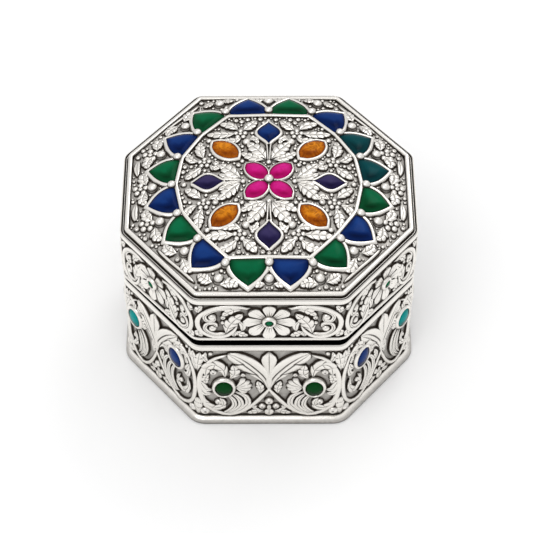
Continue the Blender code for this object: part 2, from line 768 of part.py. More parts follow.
def diagonal_shift(index):
    """The diagonal faces' ornament stands a little towards the box's left and right sides."""
    if index in (1, 5):
        return DIAGONAL_SHIFT
    if index in (3, 7):
        return -DIAGONAL_SHIFT
    return 0.0


def button_places(index):
    """(offset, height) of the two buttons of a face."""
    if index % 4 == 0:
        return [(-FRONT_BUTTON_OFFSET, FRONT_BUTTON_HEIGHT), (FRONT_BUTTON_OFFSET, FRONT_BUTTON_HEIGHT)]
    if index % 4 == 2:
        return [(-SIDE_BUTTON_OFFSET, DIAGONAL_BUTTON_HEIGHT), (SIDE_BUTTON_OFFSET, DIAGONAL_BUTTON_HEIGHT)]
    offsets = (-DIAGONAL_BUTTON_OFFSET, DIAGONAL_BUTTON_OFFSET)
    return [(diagonal_shift(index) + offset, DIAGONAL_BUTTON_HEIGHT) for offset in offsets]


def add_button_settings(wall):
    settings = bmesh.new()
    for index in range(len(FACE_NAMES)):
        for offset, height in button_places(index):
            add_face_ring(
                settings,
                face_frame(index),
                offset,
                height,
                BUTTON_SETTING_RADIUS,
                BUTTON_RADIUS + SOLDER_GAP,
                BUTTON_SETTING_HEIGHT,
            )
    unite(wall, settings, "settings")


def panel_halves(index):
    """For each half of a face: its side, and the room there for ornament as a share of the front's."""
    corners = octagon_corners(PANEL_RECESS)
    half_face = (corners[(index + 1) % len(corners)] - corners[index]).length / 2
    shift = diagonal_shift(index)
    return [(side, (half_face - side * shift - RELIEF_MARGIN) / RELIEF_REACH) for side in (-1, 1)]


def add_base_relief(wall):
    """The main forms of each panel: stems, plumes, a bud, berries, and leaves round the buttons."""
    relief = bmesh.new()
    foot_top, rim_bottom = FOOT_HEIGHT, BASE_HEIGHT - BASE_RIM_HEIGHT
    rise_share = (rim_bottom - foot_top) / (27.1 * MM)
    for index in range(len(FACE_NAMES)):
        frame = face_frame(index)
        shift = diagonal_shift(index)
        order = 0

        def on_panel(x, y, rise):
            return on_face(frame, x, y, rise)

        def drawn_at(side, share, x, y):
            return Vector((shift + side * share * x * MM, foot_top + (y * MM - 2.4 * MM) * rise_share))

        for (side, share), (offset, height) in zip(panel_halves(index), button_places(index)):
            width = (0.4 + 0.6 * share) * MM
            for half_widths, drawn in (PANEL_STEM, PANEL_PLUME):
                points = [drawn_at(side, share, x, y) for x, y in drawn]
                add_form(relief, on_panel, [half * width for half in half_widths], points, order)
                order += 1
            for half_widths, drawn in BUTTON_LEAVES:
                above = min(1.0, (rim_bottom - height) / (15.1 * MM)) * MM
                below = min(1.3, (height - foot_top) / (12.0 * MM)) * MM
                points = []
                for x, y in drawn:
                    rise = y * (above if y > 0 else below)
                    points.append(Vector((offset + side * share * x * MM, height + rise)))
                narrow = width * min(1.0, above / MM + 0.25)
                add_form(relief, on_panel, [half * narrow for half in half_widths], points, order)
                order += 1
            for (x, y), radius in PANEL_BERRIES:
                if x > 0 or side > 0:
                    middle = drawn_at(side, share, x, y)
                    size = radius * width
                    points = [middle + Vector((size * step, 0.0)) for step in (-1, -0.5, 0.5, 1)]
                    add_form(relief, on_panel, [size * w for w in (0.45, 0.95, 0.95, 0.45)], points, order)
                    order += 1
        half_widths, drawn = PANEL_BUD
        points = [drawn_at(1, 1.0, x, y) for x, y in drawn]
        add_form(relief, on_panel, [half * MM for half in half_widths], points, order)
    unite(wall, relief, "relief")


def make_buttons(enamels):
    """Two enamel buttons on each face: blue and turquoise on the diagonal faces, green on the others."""
    for index, name in enumerate(FACE_NAMES):
        colours = ("green", "green")
        if index % 2 == 1:
            colours = ("blue", "turquoise") if index in (1, 5) else ("turquoise", "blue")
        for number, (offset, height) in enumerate(button_places(index)):
            bm = bmesh.new()
            radii = [BUTTON_RADIUS] * BUTTON_SIDES
            proud = 0.6 * BUTTON_SETTING_HEIGHT
            add_face_boss(bm, face_frame(index), offset, height, radii, SOLDER_GAP, proud, BUTTON_RISE)
            add_object(f"button_{name}_{number + 1}", bm, enamels[colours[number]])


def add_rosettes(wall):
    """A flower on each face of the lid."""
    rosettes = bmesh.new()
    radii = [ROSETTE_RADIUS * ROSETTE_VALLEY_SHARE, ROSETTE_RADIUS, ROSETTE_RADIUS] * ROSETTE_PETALS
    for index in range(len(FACE_NAMES)):
        add_face_boss(
            rosettes,
            face_frame(index),
            diagonal_shift(index),
            LID_BOTTOM + ROSETTE_LIFT,
            radii,
            -ROOT_DEPTH,
            ROSETTE_THICKNESS,
            ROSETTE_RISE,
        )
    unite(wall, rosettes, "rosettes")


# The hinge


def add_tube(bm, start, end, outer, inner):
    """A knuckle along X on the hinge's axis."""
    sections = ((outer, start), (outer, end), (inner, end), (inner, start))
    loops = []
    for radius, x in sections:
        loop = []
        for k in range(HINGE_SIDES):
            angle = 2 * math.pi * k / HINGE_SIDES
            y = HINGE_AXIS_Y + radius * math.cos(angle)
            loop.append(bm.verts.new((x, y, HINGE_AXIS_Z + radius * math.sin(angle))))
        loops.append(loop)
    bridge(bm, loops, closed_profile=True)


def add_block(bm, low, high):
    made = bmesh.ops.create_cube(bm, size=1.0)
    size = Vector(high) - Vector(low)
    bmesh.ops.scale(bm, verts=made["verts"], vec=size)
    bmesh.ops.translate(bm, verts=made["verts"], vec=(Vector(low) + Vector(high)) / 2)


def make_leaf(name, knuckles, upward, material, parent=None):
    """A hinge leaf: a plate on the back of the box, joined to its knuckles by straps."""
    plate_inner = HALF_DEPTH + SOLDER_GAP
    plate_outer = plate_inner + LEAF_THICKNESS
    near = HINGE_AXIS_Z + upward * (KNUCKLE_RADIUS * 0.15)
    far = HINGE_AXIS_Z + upward * LEAF_HEIGHT
    clear = HINGE_AXIS_Z + upward * (KNUCKLE_RADIUS + 2 * KNUCKLE_GAP)
    plate = bmesh.new()
    half = HINGE_LENGTH / 2
    add_block(plate, (-half, plate_inner, min(clear, far)), (half, plate_outer, max(clear, far)))
    leaf = add_object(name, plate, material, parent)
    spacing = HINGE_LENGTH / KNUCKLE_COUNT
    for k in knuckles:
        start = -half + k * spacing + KNUCKLE_GAP / 2
        end = start + spacing - KNUCKLE_GAP
        tube = bmesh.new()
        add_tube(tube, start, end, KNUCKLE_RADIUS, HINGE_PIN_RADIUS + PIN_CLEARANCE)
        strap = bmesh.new()
        strap_end = HINGE_AXIS_Y - 0.62 * KNUCKLE_RADIUS
        strap_far = clear + upward * KNUCKLE_GAP
        add_block(
            strap,
            (start, plate_inner, min(near, strap_far)),
            (end, strap_end, max(near, strap_far)),
        )
        unite(leaf, tube, f"tube_{k}")
        unite(leaf, strap, f"strap_{k}")


def make_hinge(silver, steel, pivot):
    make_leaf("hinge_leaf_base", range(0, KNUCKLE_COUNT, 2), -1, silver)
    make_leaf("hinge_leaf_lid", range(1, KNUCKLE_COUNT, 2), 1, silver, pivot)
    bm = bmesh.new()
    made = bmesh.ops.create_cone(
        bm,
        cap_ends=True,
        segments=HINGE_SIDES,
        radius1=HINGE_PIN_RADIUS,
        radius2=HINGE_PIN_RADIUS,
        depth=HINGE_LENGTH + 2 * KNUCKLE_GAP,
    )
    turned = [(v, Vector((v.co.z, v.co.y + HINGE_AXIS_Y, -v.co.x + HINGE_AXIS_Z))) for v in made["verts"]]
    for vertex, place in turned:
        vertex.co = place
    add_object("hinge_pin", bm, steel)


def main():
    clear_scene()
    silver = make_material("silver", (0.82, 0.8, 0.77), 0.28, 1.0)
    steel = make_material("pin_steel", (0.55, 0.55, 0.56), 0.35, 1.0)
    enamels = {
        "green": make_material("green_enamel", (0.004, 0.12, 0.04), 0.12),
        "blue": make_material("blue_enamel", (0.006, 0.022, 0.14), 0.12),
        "teal": make_material("teal_enamel", (0.004, 0.06, 0.07), 0.12),
        "turquoise": make_material("turquoise_enamel", (0.005, 0.3, 0.3), 0.15),
        "violet": make_material("violet_enamel", (0.03, 0.018, 0.11), 0.15),
        "amber": make_material("amber_enamel", (0.6, 0.2, 0.008), 0.12),
        "pink": make_material("pink_enamel", (0.8, 0.01, 0.27), 0.2),
    }
    pivot = bpy.data.objects.new("lid_pivot", None)
    bpy.context.scene.collection.objects.link(pivot)
    pivot.location = (0.0, HINGE_AXIS_Y, HINGE_AXIS_Z)
    bpy.context.view_layer.update()
    make_base(silver)
    make_lid_shell(silver, pivot)
    make_dome(silver, pivot)
    make_petal_ring(silver, enamels, pivot)
    make_medallion(silver, enamels, pivot)
    make_buttons(enamels)
    make_hinge(silver, steel, pivot)


main()
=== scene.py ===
"""An octagonal silver keepsake box with enamel stones. It stands on z = 0 with its front towards -Y."""

import math
import random

import bpy
import numpy as np
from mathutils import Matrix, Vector


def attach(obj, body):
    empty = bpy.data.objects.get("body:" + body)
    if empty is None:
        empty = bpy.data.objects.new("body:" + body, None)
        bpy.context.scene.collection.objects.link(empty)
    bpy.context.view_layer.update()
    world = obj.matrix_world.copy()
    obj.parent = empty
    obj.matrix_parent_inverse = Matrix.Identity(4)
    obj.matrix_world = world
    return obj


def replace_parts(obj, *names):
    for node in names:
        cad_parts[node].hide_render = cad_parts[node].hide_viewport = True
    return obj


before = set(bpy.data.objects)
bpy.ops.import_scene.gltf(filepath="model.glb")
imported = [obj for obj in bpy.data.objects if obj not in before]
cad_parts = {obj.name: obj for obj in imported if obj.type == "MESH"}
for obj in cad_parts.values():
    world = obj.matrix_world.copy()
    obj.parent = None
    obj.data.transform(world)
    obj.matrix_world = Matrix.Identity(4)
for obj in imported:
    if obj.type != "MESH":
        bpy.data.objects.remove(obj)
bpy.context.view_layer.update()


# Tray floor. It is plain silver sheet, 1.2 mm thick, cut to the octagon, soldered inside the foot of
# the wall and polished.

MM = 0.001


def add_group(name, inputs, outputs):
    """An empty shader node group, and its nodes for what goes in and what comes out."""
    group = bpy.data.node_groups.new(name, "ShaderNodeTree")
    for label, kind, value in inputs:
        socket = group.interface.new_socket(name=label, in_out="INPUT", socket_type=kind)
        socket.default_value = value
    for label, kind in outputs:
        group.interface.new_socket(name=label, in_out="OUTPUT", socket_type=kind)
    return group, group.nodes.new("NodeGroupInput"), group.nodes.new("NodeGroupOutput")


def add_node(tree, kind, links=(), **settings):
    """Adds a shader node. Its settings are given by name, and its links by socket."""
    node = tree.nodes.new("ShaderNode" + kind)
    for name, value in settings.items():
        setattr(node, name, value)
    for socket, value in dict(links).items():
        if isinstance(value, bpy.types.NodeSocket):
            tree.links.new(value, node.inputs[socket])
        else:
            node.inputs[socket].default_value = value
    return node


def calculate(tree, operation, *values, clamp=False):
    """What a Math node makes of one to three values."""
    return add_node(tree, "Math", dict(enumerate(values)), operation=operation, use_clamp=clamp).outputs[0]


def remap(tree, value, low, high, most=1.0):
    """Stretches a value, so that low becomes 0 and high becomes most."""
    sockets = {"Value": value, "From Min": low, "From Max": high, "To Max": most}
    return add_node(tree, "MapRange", sockets).outputs[0]


def blend(tree, share, first, second):
    """Mixes two colours. A Mix node has its colours as inputs 6 and 7, and the mixed one as output 2."""
    return add_node(tree, "Mix", {0: share, 6: first, 7: second}, data_type="RGBA").outputs[2]


def build_tarnish_and_shade():
    """Bright silver on what stands high, and brown-black tarnish left by the polishing cloth in hollows, with
    painted shade: an ambient occlusion node darkens where surfaces come close, and the darkest values turn
    black as painted shadow in the gap under the lid.
    """
    group, given, result = add_group(
        "tarnish and painted shade",
        [("Tarnish and shade", "NodeSocketFloat", 0.0), ("Bright", "NodeSocketColor", (0.88, 0.85, 0.80, 1.0)),
         ("Dark", "NodeSocketColor", (0.032, 0.022, 0.014, 1.0)), ("Polish", "NodeSocketFloat", 0.2),
         ("Marks", "NodeSocketFloat", 0.05), ("Shade", "NodeSocketFloat", 1.0)],
        [("Color", "NodeSocketColor"), ("Roughness", "NodeSocketFloat"), ("Metallic", "NodeSocketFloat"),
         ("Normal", "NodeSocketVector")],
    )
    place = add_node(group, "TexCoord").outputs["Object"]
    blotches = add_node(group, "TexNoise", {"Vector": place, "Scale": 900.0, "Detail": 4.0, "Roughness": 0.6})
    scratches = add_node(group, "TexNoise", {"Vector": place, "Scale": 4500.0, "Detail": 2.0})
    # Painted shade: an ambient occlusion node darkens the silver where other surfaces are close, on top of
    # the tarnish
    nearness = add_node(group, "AmbientOcclusion", {"Distance": 0.0011}, samples=6)
    occlusion_shade = remap(group, nearness.outputs["AO"], 0.86, 0.3, given.outputs["Shade"])
    spread = calculate(group, "MULTIPLY_ADD", blotches.outputs["Fac"], 0.3, -0.15)
    level = calculate(group, "ADD", given.outputs["Tarnish and shade"], spread)
    darkening = calculate(group, "ADD", level, occlusion_shade)
    mask = remap(group, darkening, 0.12, 0.95)
    # Painted shadow: from a level of 1.2 up the silver turns black, as in the gap under the lid
    gap_shadow = remap(group, level, 1.2, 1.6)
    silver = blend(group, mask, given.outputs["Bright"], given.outputs["Dark"])
    colour = blend(group, gap_shadow, silver, (0.002, 0.002, 0.002, 1))
    haze = calculate(group, "MULTIPLY_ADD", scratches.outputs["Fac"], 0.12, given.outputs["Polish"])
    roughness = calculate(group, "MULTIPLY_ADD", mask, 0.35, haze)
    dull = calculate(group, "SUBTRACT", mask, gap_shadow, clamp=True)
    metal = calculate(group, "MULTIPLY_ADD", dull, -0.45, 1.0)
    bump = add_node(group, "Bump", {"Strength": given.outputs["Marks"], "Distance": 0.0002,
                                    "Height": blotches.outputs["Fac"]})
    for label, socket in (("Color", colour), ("Roughness", roughness), ("Metallic", metal),
                          ("Normal", bump.outputs["Normal"])):
        group.links.new(socket, result.inputs[label])
    return group


TARNISH_AND_SHADE = build_tarnish_and_shade()


def make_silver(name, polish, marks, tone_and_shade=0.0, attribute=None, shade=1.0):
    """Silver with tarnish and painted shade. How dark a point is, from tarnish and painted shade, comes from
    an attribute of the mesh, where it has one.
    """
    material = bpy.data.materials.new(name)
    material.use_nodes = True
    tree = material.node_tree
    shader = tree.nodes["Principled BSDF"]
    tarnish = tree.nodes.new("ShaderNodeGroup")
    tarnish.node_tree = TARNISH_AND_SHADE
    tarnish.inputs["Polish"].default_value = polish
    tarnish.inputs["Marks"].default_value = marks
    tarnish.inputs["Tarnish and shade"].default_value = tone_and_shade
    tarnish.inputs["Shade"].default_value = shade
    if attribute:
        depth = add_node(tree, "Attribute", attribute_name=attribute)
        tree.links.new(depth.outputs["Fac"], tarnish.inputs["Tarnish and shade"])
    for label, socket in (("Color", "Base Color"), ("Roughness", "Roughness"), ("Metallic", "Metallic"),
                          ("Normal", "Normal")):
        tree.links.new(tarnish.outputs[label], shader.inputs[socket])
    material.diffuse_color = (0.82, 0.8, 0.77, 1.0)
    return material


sheet_silver = make_silver("sheet silver", polish=0.24, marks=0.06, tone_and_shade=0.08)
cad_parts["base_floor"].data.materials.clear()
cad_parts["base_floor"].data.materials.append(sheet_silver)


# Wall of the base. One silver casting: an eight-sided band 1 mm thick, whose panels are set back
# behind the foot and the rim. Its ground is matt and darkened, and carries the relief.

HALF_WIDTH, HALF_DEPTH = 36.0, 33.3
FRONT_HALF_FACE, SIDE_HALF_FACE = 18.1, 12.5
CORNER_RADIUS = 3.8
PANEL_INSET = 0.7
BASE_HEIGHT = 31.6
run, rise = HALF_WIDTH - FRONT_HALF_FACE, HALF_DEPTH - SIDE_HALF_FACE
slant = Vector((rise, -run)).normalized()
slant_distance = slant.dot(Vector((FRONT_HALF_FACE, -HALF_DEPTH)))
# Outward normal and distance of each face, from the front round anticlockwise
FACES = [
    (Vector((0, -1)), HALF_DEPTH), (slant, slant_distance), (Vector((1, 0)), HALF_WIDTH),
    (Vector((slant.x, -slant.y)), slant_distance), (Vector((0, 1)), HALF_DEPTH),
    (Vector((-slant.x, -slant.y)), slant_distance), (Vector((-1, 0)), HALF_WIDTH),
    (Vector((-slant.x, slant.y)), slant_distance),
]


def octagon_corner(index, inset):
    """Where face index meets the one before it, with both moved inwards by inset."""
    (na, da), (nb, db) = FACES[index - 1], FACES[index]
    cross = na.x * nb.y - na.y * nb.x
    da, db = da - inset, db - inset
    return Vector(((da * nb.y - db * na.y) / cross, (db * na.x - da * nb.x) / cross))


def corner_radius(inset):
    """Radius of the octagon's round corners, which get sharper inwards."""
    return max(CORNER_RADIUS - 1.55 * inset, 0.15)


def octagon_outline(inset, corner_steps=7, side_steps=8):
    """Points round the octagon, moved inwards by inset, with round corners. The first comes again last."""
    radius = corner_radius(inset)
    arcs = []
    for i in range(8):
        before, after = FACES[i - 1][0], FACES[i][0]
        corner = octagon_corner(i, inset)
        centre = corner - (before + after).normalized() * radius / math.cos(before.angle(after) / 2)
        arcs.append([centre + before.slerp(after, k / corner_steps) * radius
                     for k in range(corner_steps + 1)])
    points = []
    for i in range(8):
        points += arcs[i]
        start, end = arcs[i][-1], arcs[(i + 1) % 8][0]
        points += [start.lerp(end, k / side_steps) for k in range(1, side_steps)]
    return points + points[:1]


def pick(piece):
    """Makes this the only selected object."""
    bpy.ops.object.select_all(action="DESELECT")
    piece.select_set(True)
    bpy.context.view_layer.objects.active = piece


def points_of(mesh):
    """The points of a mesh, one in each row."""
    flat = np.empty(len(mesh.vertices) * 3, np.float32)
    mesh.vertices.foreach_get("co", flat)
    return flat.reshape(-1, 3)


def add_sheet(name, columns, rows, place):
    """A grid primitive, shaped point by point. place gives x, y, z and a darkness of tarnish and painted
    shade for a column and a row.
    """
    bpy.ops.object.select_all(action="DESELECT")
    bpy.ops.mesh.primitive_grid_add(x_subdivisions=columns, y_subdivisions=rows, size=2)
    sheet = bpy.context.object
    sheet.name = sheet.data.name = name
    cells = np.rint((points_of(sheet.data)[:, :2] + 1) / 2 * (columns, rows)).astype(int)
    shaped = np.array([place(i, j) for i, j in cells])
    sheet.data.vertices.foreach_set("co", shaped[:, :3].ravel())
    depth = sheet.data.attributes.new("tone_and_shade", "FLOAT", "POINT")
    depth.data.foreach_set("value", shaped[:, 3].copy())
    sheet.data.update()
    return sheet


def merge_seam(piece, threshold):
    """Merges the seam of a piece that closes on itself, and turns its faces outwards."""
    pick(piece)
    bpy.ops.object.mode_set(mode="EDIT")
    bpy.ops.mesh.select_all(action="SELECT")
    bpy.ops.mesh.remove_doubles(threshold=threshold)
    bpy.ops.mesh.normals_make_consistent(inside=False)
    bpy.ops.object.mode_set(mode="OBJECT")


def close_up(piece, smooth=40):
    """Finishes a piece that closes on itself: merges its seam and shades it smooth up to that angle."""
    merge_seam(piece, threshold=1e-6)
    bpy.ops.object.shade_smooth_by_angle(angle=math.radians(smooth))
    return piece


def carry_round(name, profile, material, body, smooth=40):
    """A closed profile of (inset, height, darkness of tarnish and painted shade) in mm, carried round. A
    height may depend on y.
    """
    loops = [octagon_outline(inset) for inset, _, _ in profile]

    def place(i, j):
        point = loops[j % len(profile)][i]
        height, tone_and_shade = profile[j % len(profile)][1:]
        height = height(point.y) if callable(height) else height
        return point.x * MM, point.y * MM, height * MM, tone_and_shade

    ring = close_up(add_sheet(name, len(loops[0]) - 1, len(profile), place), smooth)
    ring.data.materials.append(material)
    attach(ring, body)
    return ring


cast_silver = make_silver("cast silver", polish=0.22, marks=0.12, attribute="tone_and_shade")
WALL_BACK = 1.7
# How dark the matt ground of the panels is, as the darkness of tarnish and painted shade, in which 1 is black
# with tarnish and 2 is black as painted shadow
GROUND = 0.56
# The top of the wall, in the gap under the lid, is painted black as the shadow there
base_wall = carry_round(
    "base_wall_casting",
    [(PANEL_INSET, 0.0, 0.5), (PANEL_INSET, 1.95, 1.0), (PANEL_INSET, 2.7, GROUND),
     (PANEL_INSET, 28.6, GROUND), (PANEL_INSET, 29.45, 1.0), (PANEL_INSET, BASE_HEIGHT, 2.0),
     (WALL_BACK, BASE_HEIGHT, 2.0), (WALL_BACK, BASE_HEIGHT - 0.3, 0.3), (WALL_BACK, 0.0, 0.1)],
    cast_silver, "base",
)
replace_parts(base_wall, "base_wall")


# Collar inside the base, which the lid closes over. It is a band of plain silver sheet, rounded at
# its lip. A band round its outer side, in the gap under the lid, is painted black as the shadow there.

COLLAR_OUTER, COLLAR_THICKNESS = 1.95, 0.7
COLLAR_INNER = COLLAR_OUTER + COLLAR_THICKNESS
COLLAR_LOW, COLLAR_TOP = 22.6, 34.2
collar = carry_round(
    "collar_band",
    [(COLLAR_OUTER, COLLAR_LOW, 0.1), (COLLAR_OUTER, BASE_HEIGHT, 2.0),
     (COLLAR_OUTER, BASE_HEIGHT + 0.9, 2.0), (COLLAR_OUTER, BASE_HEIGHT + 1.6, 0.5),
     (COLLAR_OUTER, COLLAR_TOP - 0.25, 0.1),
     (COLLAR_OUTER + 0.2, COLLAR_TOP, 0.0), (COLLAR_INNER - 0.2, COLLAR_TOP, 0.0),
     (COLLAR_INNER, COLLAR_TOP - 0.25, 0.0), (COLLAR_INNER, COLLAR_LOW, 0.15)],
    cast_silver, "base",
)
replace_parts(collar, "inner_collar")


# Patterns for the relief: leaves, plumes, stems, a petal, a shell, grains and a bead. The silversmith
# cut each once as a punch or a wax, and pressed it again and again, bent to where it had to go.

# Heights that mark a pattern's foot, and past it the edge, which lies on the ground as a dark line of tarnish
# and painted shadow
FOOT, EDGE = -0.1, -1.0
# Where that edge starts, just past the pattern's length and half width of 1
OUTSIDE = 1.001
# Steep side of a pattern: its place across, its height and its tarnish
FLANK, FLANK_HEIGHT, FLANK_HOLLOW = 0.96, 0.6, 0.9


def with_edges(sides):
    """Places across a pattern from left to right, from the middle's 0.0 out to its flank, foot and edge."""
    sides = [*sides, FLANK, 1.0, OUTSIDE]
    return [-s for s in reversed(sides)] + [0.0] + sides


def shape_leaf(name, lobes, depth=0.3, lean=0.22, point=0.7, start=0.5):
    """A lobed leaf, one long and two wide, flat on top. Fine lines run from its midrib to the notches."""
    across = with_edges((0.1, 0.5, 0.88))
    shares = (0.0, 0.1, 0.32, 0.62, 0.9) if depth else (0.01, 0.26, 0.48, 0.7, 0.9)
    along = [(k + s) / lobes for k in range(lobes) for s in shares] + [1.0, OUTSIDE]
    crowns = {FLANK: FLANK_HEIGHT, 0.88: 0.85, 0.5: 1.0, 0.1: 0.95, 0.0: 0.8}
    hollows = {FLANK: FLANK_HOLLOW, 0.88: 0.1, 0.5: 0.0, 0.1: 0.0, 0.0: 0.75}
    widest = max((k / 50 + 0.02) ** start * (1.001 - k / 50) ** point for k in range(50))

    def place(i, j):
        x, t = across[i], along[j]
        side, share = abs(x), shares[j % 5] if t < 1 else 0.9
        lobe = math.sin(math.pi * (0.08 + 0.87 * share) ** 1.4)
        width = (t + 0.02) ** start * (OUTSIDE - t) ** point / widest * (1 - depth * (1 - lobe))
        y = t + lean * min(side, 1) * (1 - min(t, 1)) * (0.6 + 0.4 * lobe)
        if side >= 1 or t >= 1:
            return x * width, y, EDGE if max(side, t) > 1 else FOOT, 1.0
        z, tone_and_shade = crowns[side] * (0.62 + 0.38 * math.sin(math.pi * (0.15 + 0.7 * t))), hollows[side]
        if share == 0.0 and 0 < t < 1 and side > 0 and depth:
            z -= 0.2
            tone_and_shade = {FLANK: 1.0, 0.88: 0.9, 0.5: 0.7, 0.1: 0.1}[side]
        return x * width, y, z, max(tone_and_shade, 0.45 - 5 * t)

    return add_sheet(name, len(across) - 1, len(along) - 1, place)


def shape_plume(name, lobed_side):
    """A plume, one long and two wide: smooth on one side, stepped in three on the other, with long lines."""
    across = with_edges((0.1, 0.22, 0.34, 0.6, 0.9))
    shares = (0.0, 0.14, 0.42, 0.74, 0.97)
    along = [(k + s) / 3 for k in range(3) for s in shares] + [1.0, OUTSIDE]
    crowns = {FLANK: FLANK_HEIGHT, 0.9: 0.85, 0.6: 1.0, 0.34: 0.98, 0.22: 0.76, 0.1: 1.0, 0.0: 1.0}

    def place(i, j):
        x, t = across[i], along[j]
        side, share = abs(x), shares[j % 5] if t < 1 else 0.97
        width = (t + 0.02) ** 0.55 * (OUTSIDE - t) ** 0.5 / 0.5
        y = t
        if x * lobed_side > 0:
            lobe = math.sin(math.pi / 2 * share) ** 0.7
            width *= 1 - 0.4 * (1 - lobe)
            y += (0.2 + 0.12 * lobe) * min(side, 1) * (1 - min(t, 1))
        if side >= 1 or t >= 1:
            return x * width, y, EDGE if max(side, t) > 1 else FOOT, 1.0
        tone_and_shade = {FLANK: FLANK_HOLLOW, 0.9: 0.1}.get(side, 0.0)
        if side == 0.22:
            tone_and_shade = 1.1 * min(1, 4 * (0.95 - t)) if t < 0.95 else 0.0
        z = crowns[side] * (0.7 + 0.3 * math.sin(math.pi * t))
        if share == 0.0 and 0 < t < 1 and x * lobed_side > 0.3:
            z -= 0.25
            tone_and_shade = 1.1
        return x * width, y, z, max(tone_and_shade, 0.3 - 5 * t)

    return add_sheet(name, len(across) - 1, len(along) - 1, place)


def shape_stem(name, groove=0.0, steps=28, run_out=9):
    """A flat-topped stem, one long and two wide, that runs out to a point at both ends."""
    across = with_edges((0.12, 0.5, 0.82))
    crowns = {FLANK: 0.5, 0.82: 0.8, 0.5: 0.97, 0.12: 1.0, 0.0: 1.0 - 0.25 * groove}
    hollows = {FLANK: FLANK_HOLLOW, 0.82: 0.1, 0.5: 0.0, 0.12: 0.0, 0.0: groove}

    def place(i, j):
        x, t = across[i], (j - 1) / (steps - 2)
        width = max(0.0, min(1.0, (0.12 + run_out * t), (0.12 + run_out * (1 - t))))
        if abs(x) >= 1 or j in (0, 1, steps - 1, steps):
            return x * width, min(max(t, 0), 1), EDGE if abs(x) > 1 or j in (0, steps) else FOOT, 1.0
        return x * width, t, crowns[abs(x)], hollows[abs(x)]

    return add_sheet(name, len(across) - 1, steps, place)


def shape_petal(name, base=0.2):
    """A round-ended petal, one long and two wide, with lines cut in towards its foot."""
    across = with_edges((0.13, 0.32, 0.46, 0.6, 0.88))
    along = (0.0, 0.15, 0.35, 0.55, 0.72, 0.86, 0.95, 0.985, 1.0, OUTSIDE)
    crowns = {FLANK: FLANK_HEIGHT, 0.88: 0.88, 0.6: 0.95, 0.46: 0.86, 0.32: 0.95, 0.13: 0.92, 0.0: 0.8}

    def place(i, j):
        x, t = across[i], along[j]
        side = abs(x)
        width = base + (1 - base) * min(t / 0.7, 1) ** 0.92
        if t > 0.7:
            width *= math.sqrt(max(0.0, 1 - ((t - 0.7) / 0.303) ** 2))
        if side >= 1 or t >= 1:
            return x * width, t, EDGE if max(side, t) > 1 else FOOT, 1.0
        lines = {FLANK: FLANK_HOLLOW, 0.88: 0.1, 0.46: 1.7 - t / 0.34, 0.0: 1.9 - t / 0.38}
        # The petal also grows darker towards its foot, as painted shade
        tone_and_shade = max(min(lines.get(side, 0.0), 1.0), 1.0 - 5 * t, 0.5 - 1.2 * t, 0.0)
        return x * width, t, crowns[side] * (0.35 + 0.65 * t), tone_and_shade

    return add_sheet(name, len(across) - 1, len(along) - 1, place)


def shape_shell(name, lobes=5, spread=66):
    """A fan of round lobes, one long and two wide, with a fine line between each two."""
    shares = (0.0, 0.1, 0.35, 0.65, 0.9)
    columns = lobes * 5
    along = (0.0, 0.25, 0.5, 0.75, 0.9, 1.0, OUTSIDE)

    def place(i, j):
        share = shares[i % 5]
        valley = share == 0.0
        rim = i in (0, columns)
        turn = math.radians(spread) * (2 * (i // 5 + share) / lobes - 1)
        t = along[j]
        length = (0.84 + 0.16 * math.sin(math.pi * share) ** 0.7) * min(t, 1)
        length *= 1.09 if t > 1 else 1.0
        x, y = math.sin(turn) * length, math.cos(turn) * length
        if t >= 1 or rim:
            return x, y, EDGE if t > 1 or rim else FOOT, 1.0
        z = (0.45 + 0.55 * math.sin(math.pi * min(0.9, 0.15 + 0.75 * t))) - (0.2 if valley else 0.0)
        return x, y, z, max(0.8 * min(1, 1.6 * t) if valley else 0.0, 0.6 - 2.5 * t)

    return add_sheet(name, columns, len(along) - 1, place)


def shape_grain(name, drilled, polished=False):
    """Upper part of a ball of radius 1. A drilled one has a dark dip in its crown. Its lower part is darker
    as painted shade, and a polished one has a dark belt as a painted reflection.
    """
    bpy.ops.object.select_all(action="DESELECT")
    segments, rings = (20, 14) if polished else (12, 8)
    bpy.ops.mesh.primitive_uv_sphere_add(segments=segments, ring_count=rings, radius=1)
    grain = bpy.context.object
    grain.name = grain.data.name = name
    bpy.ops.object.mode_set(mode="EDIT")
    bpy.ops.mesh.bisect(plane_co=(0, 0, -0.3), plane_no=(0, 0, 1), clear_inner=True)
    bpy.ops.object.mode_set(mode="OBJECT")
    depth = grain.data.attributes.new("tone_and_shade", "FLOAT", "POINT")
    for vertex, value in zip(grain.data.vertices, depth.data):
        # Painted shade: the lower part of the ball is darker, and black where it meets the ground
        value.value = 1.0 if vertex.co.z < 0.05 else 0.42 if vertex.co.z < 0.45 else 0.0
        # Painted reflection: a polished bead gets a dark belt low down, as if it mirrored the dark ground
        if polished:
            value.value = {0: 0.3, 2: 1.0, 4: 0.55}.get(round(vertex.co.z * 10), value.value)
        if vertex.co.z < -0.2:
            vertex.co *= 1.15
            vertex.co.z = EDGE
        if drilled and vertex.co.z > 0.99:
            vertex.co.z = 0.6
            value.value = 1.0
    return grain


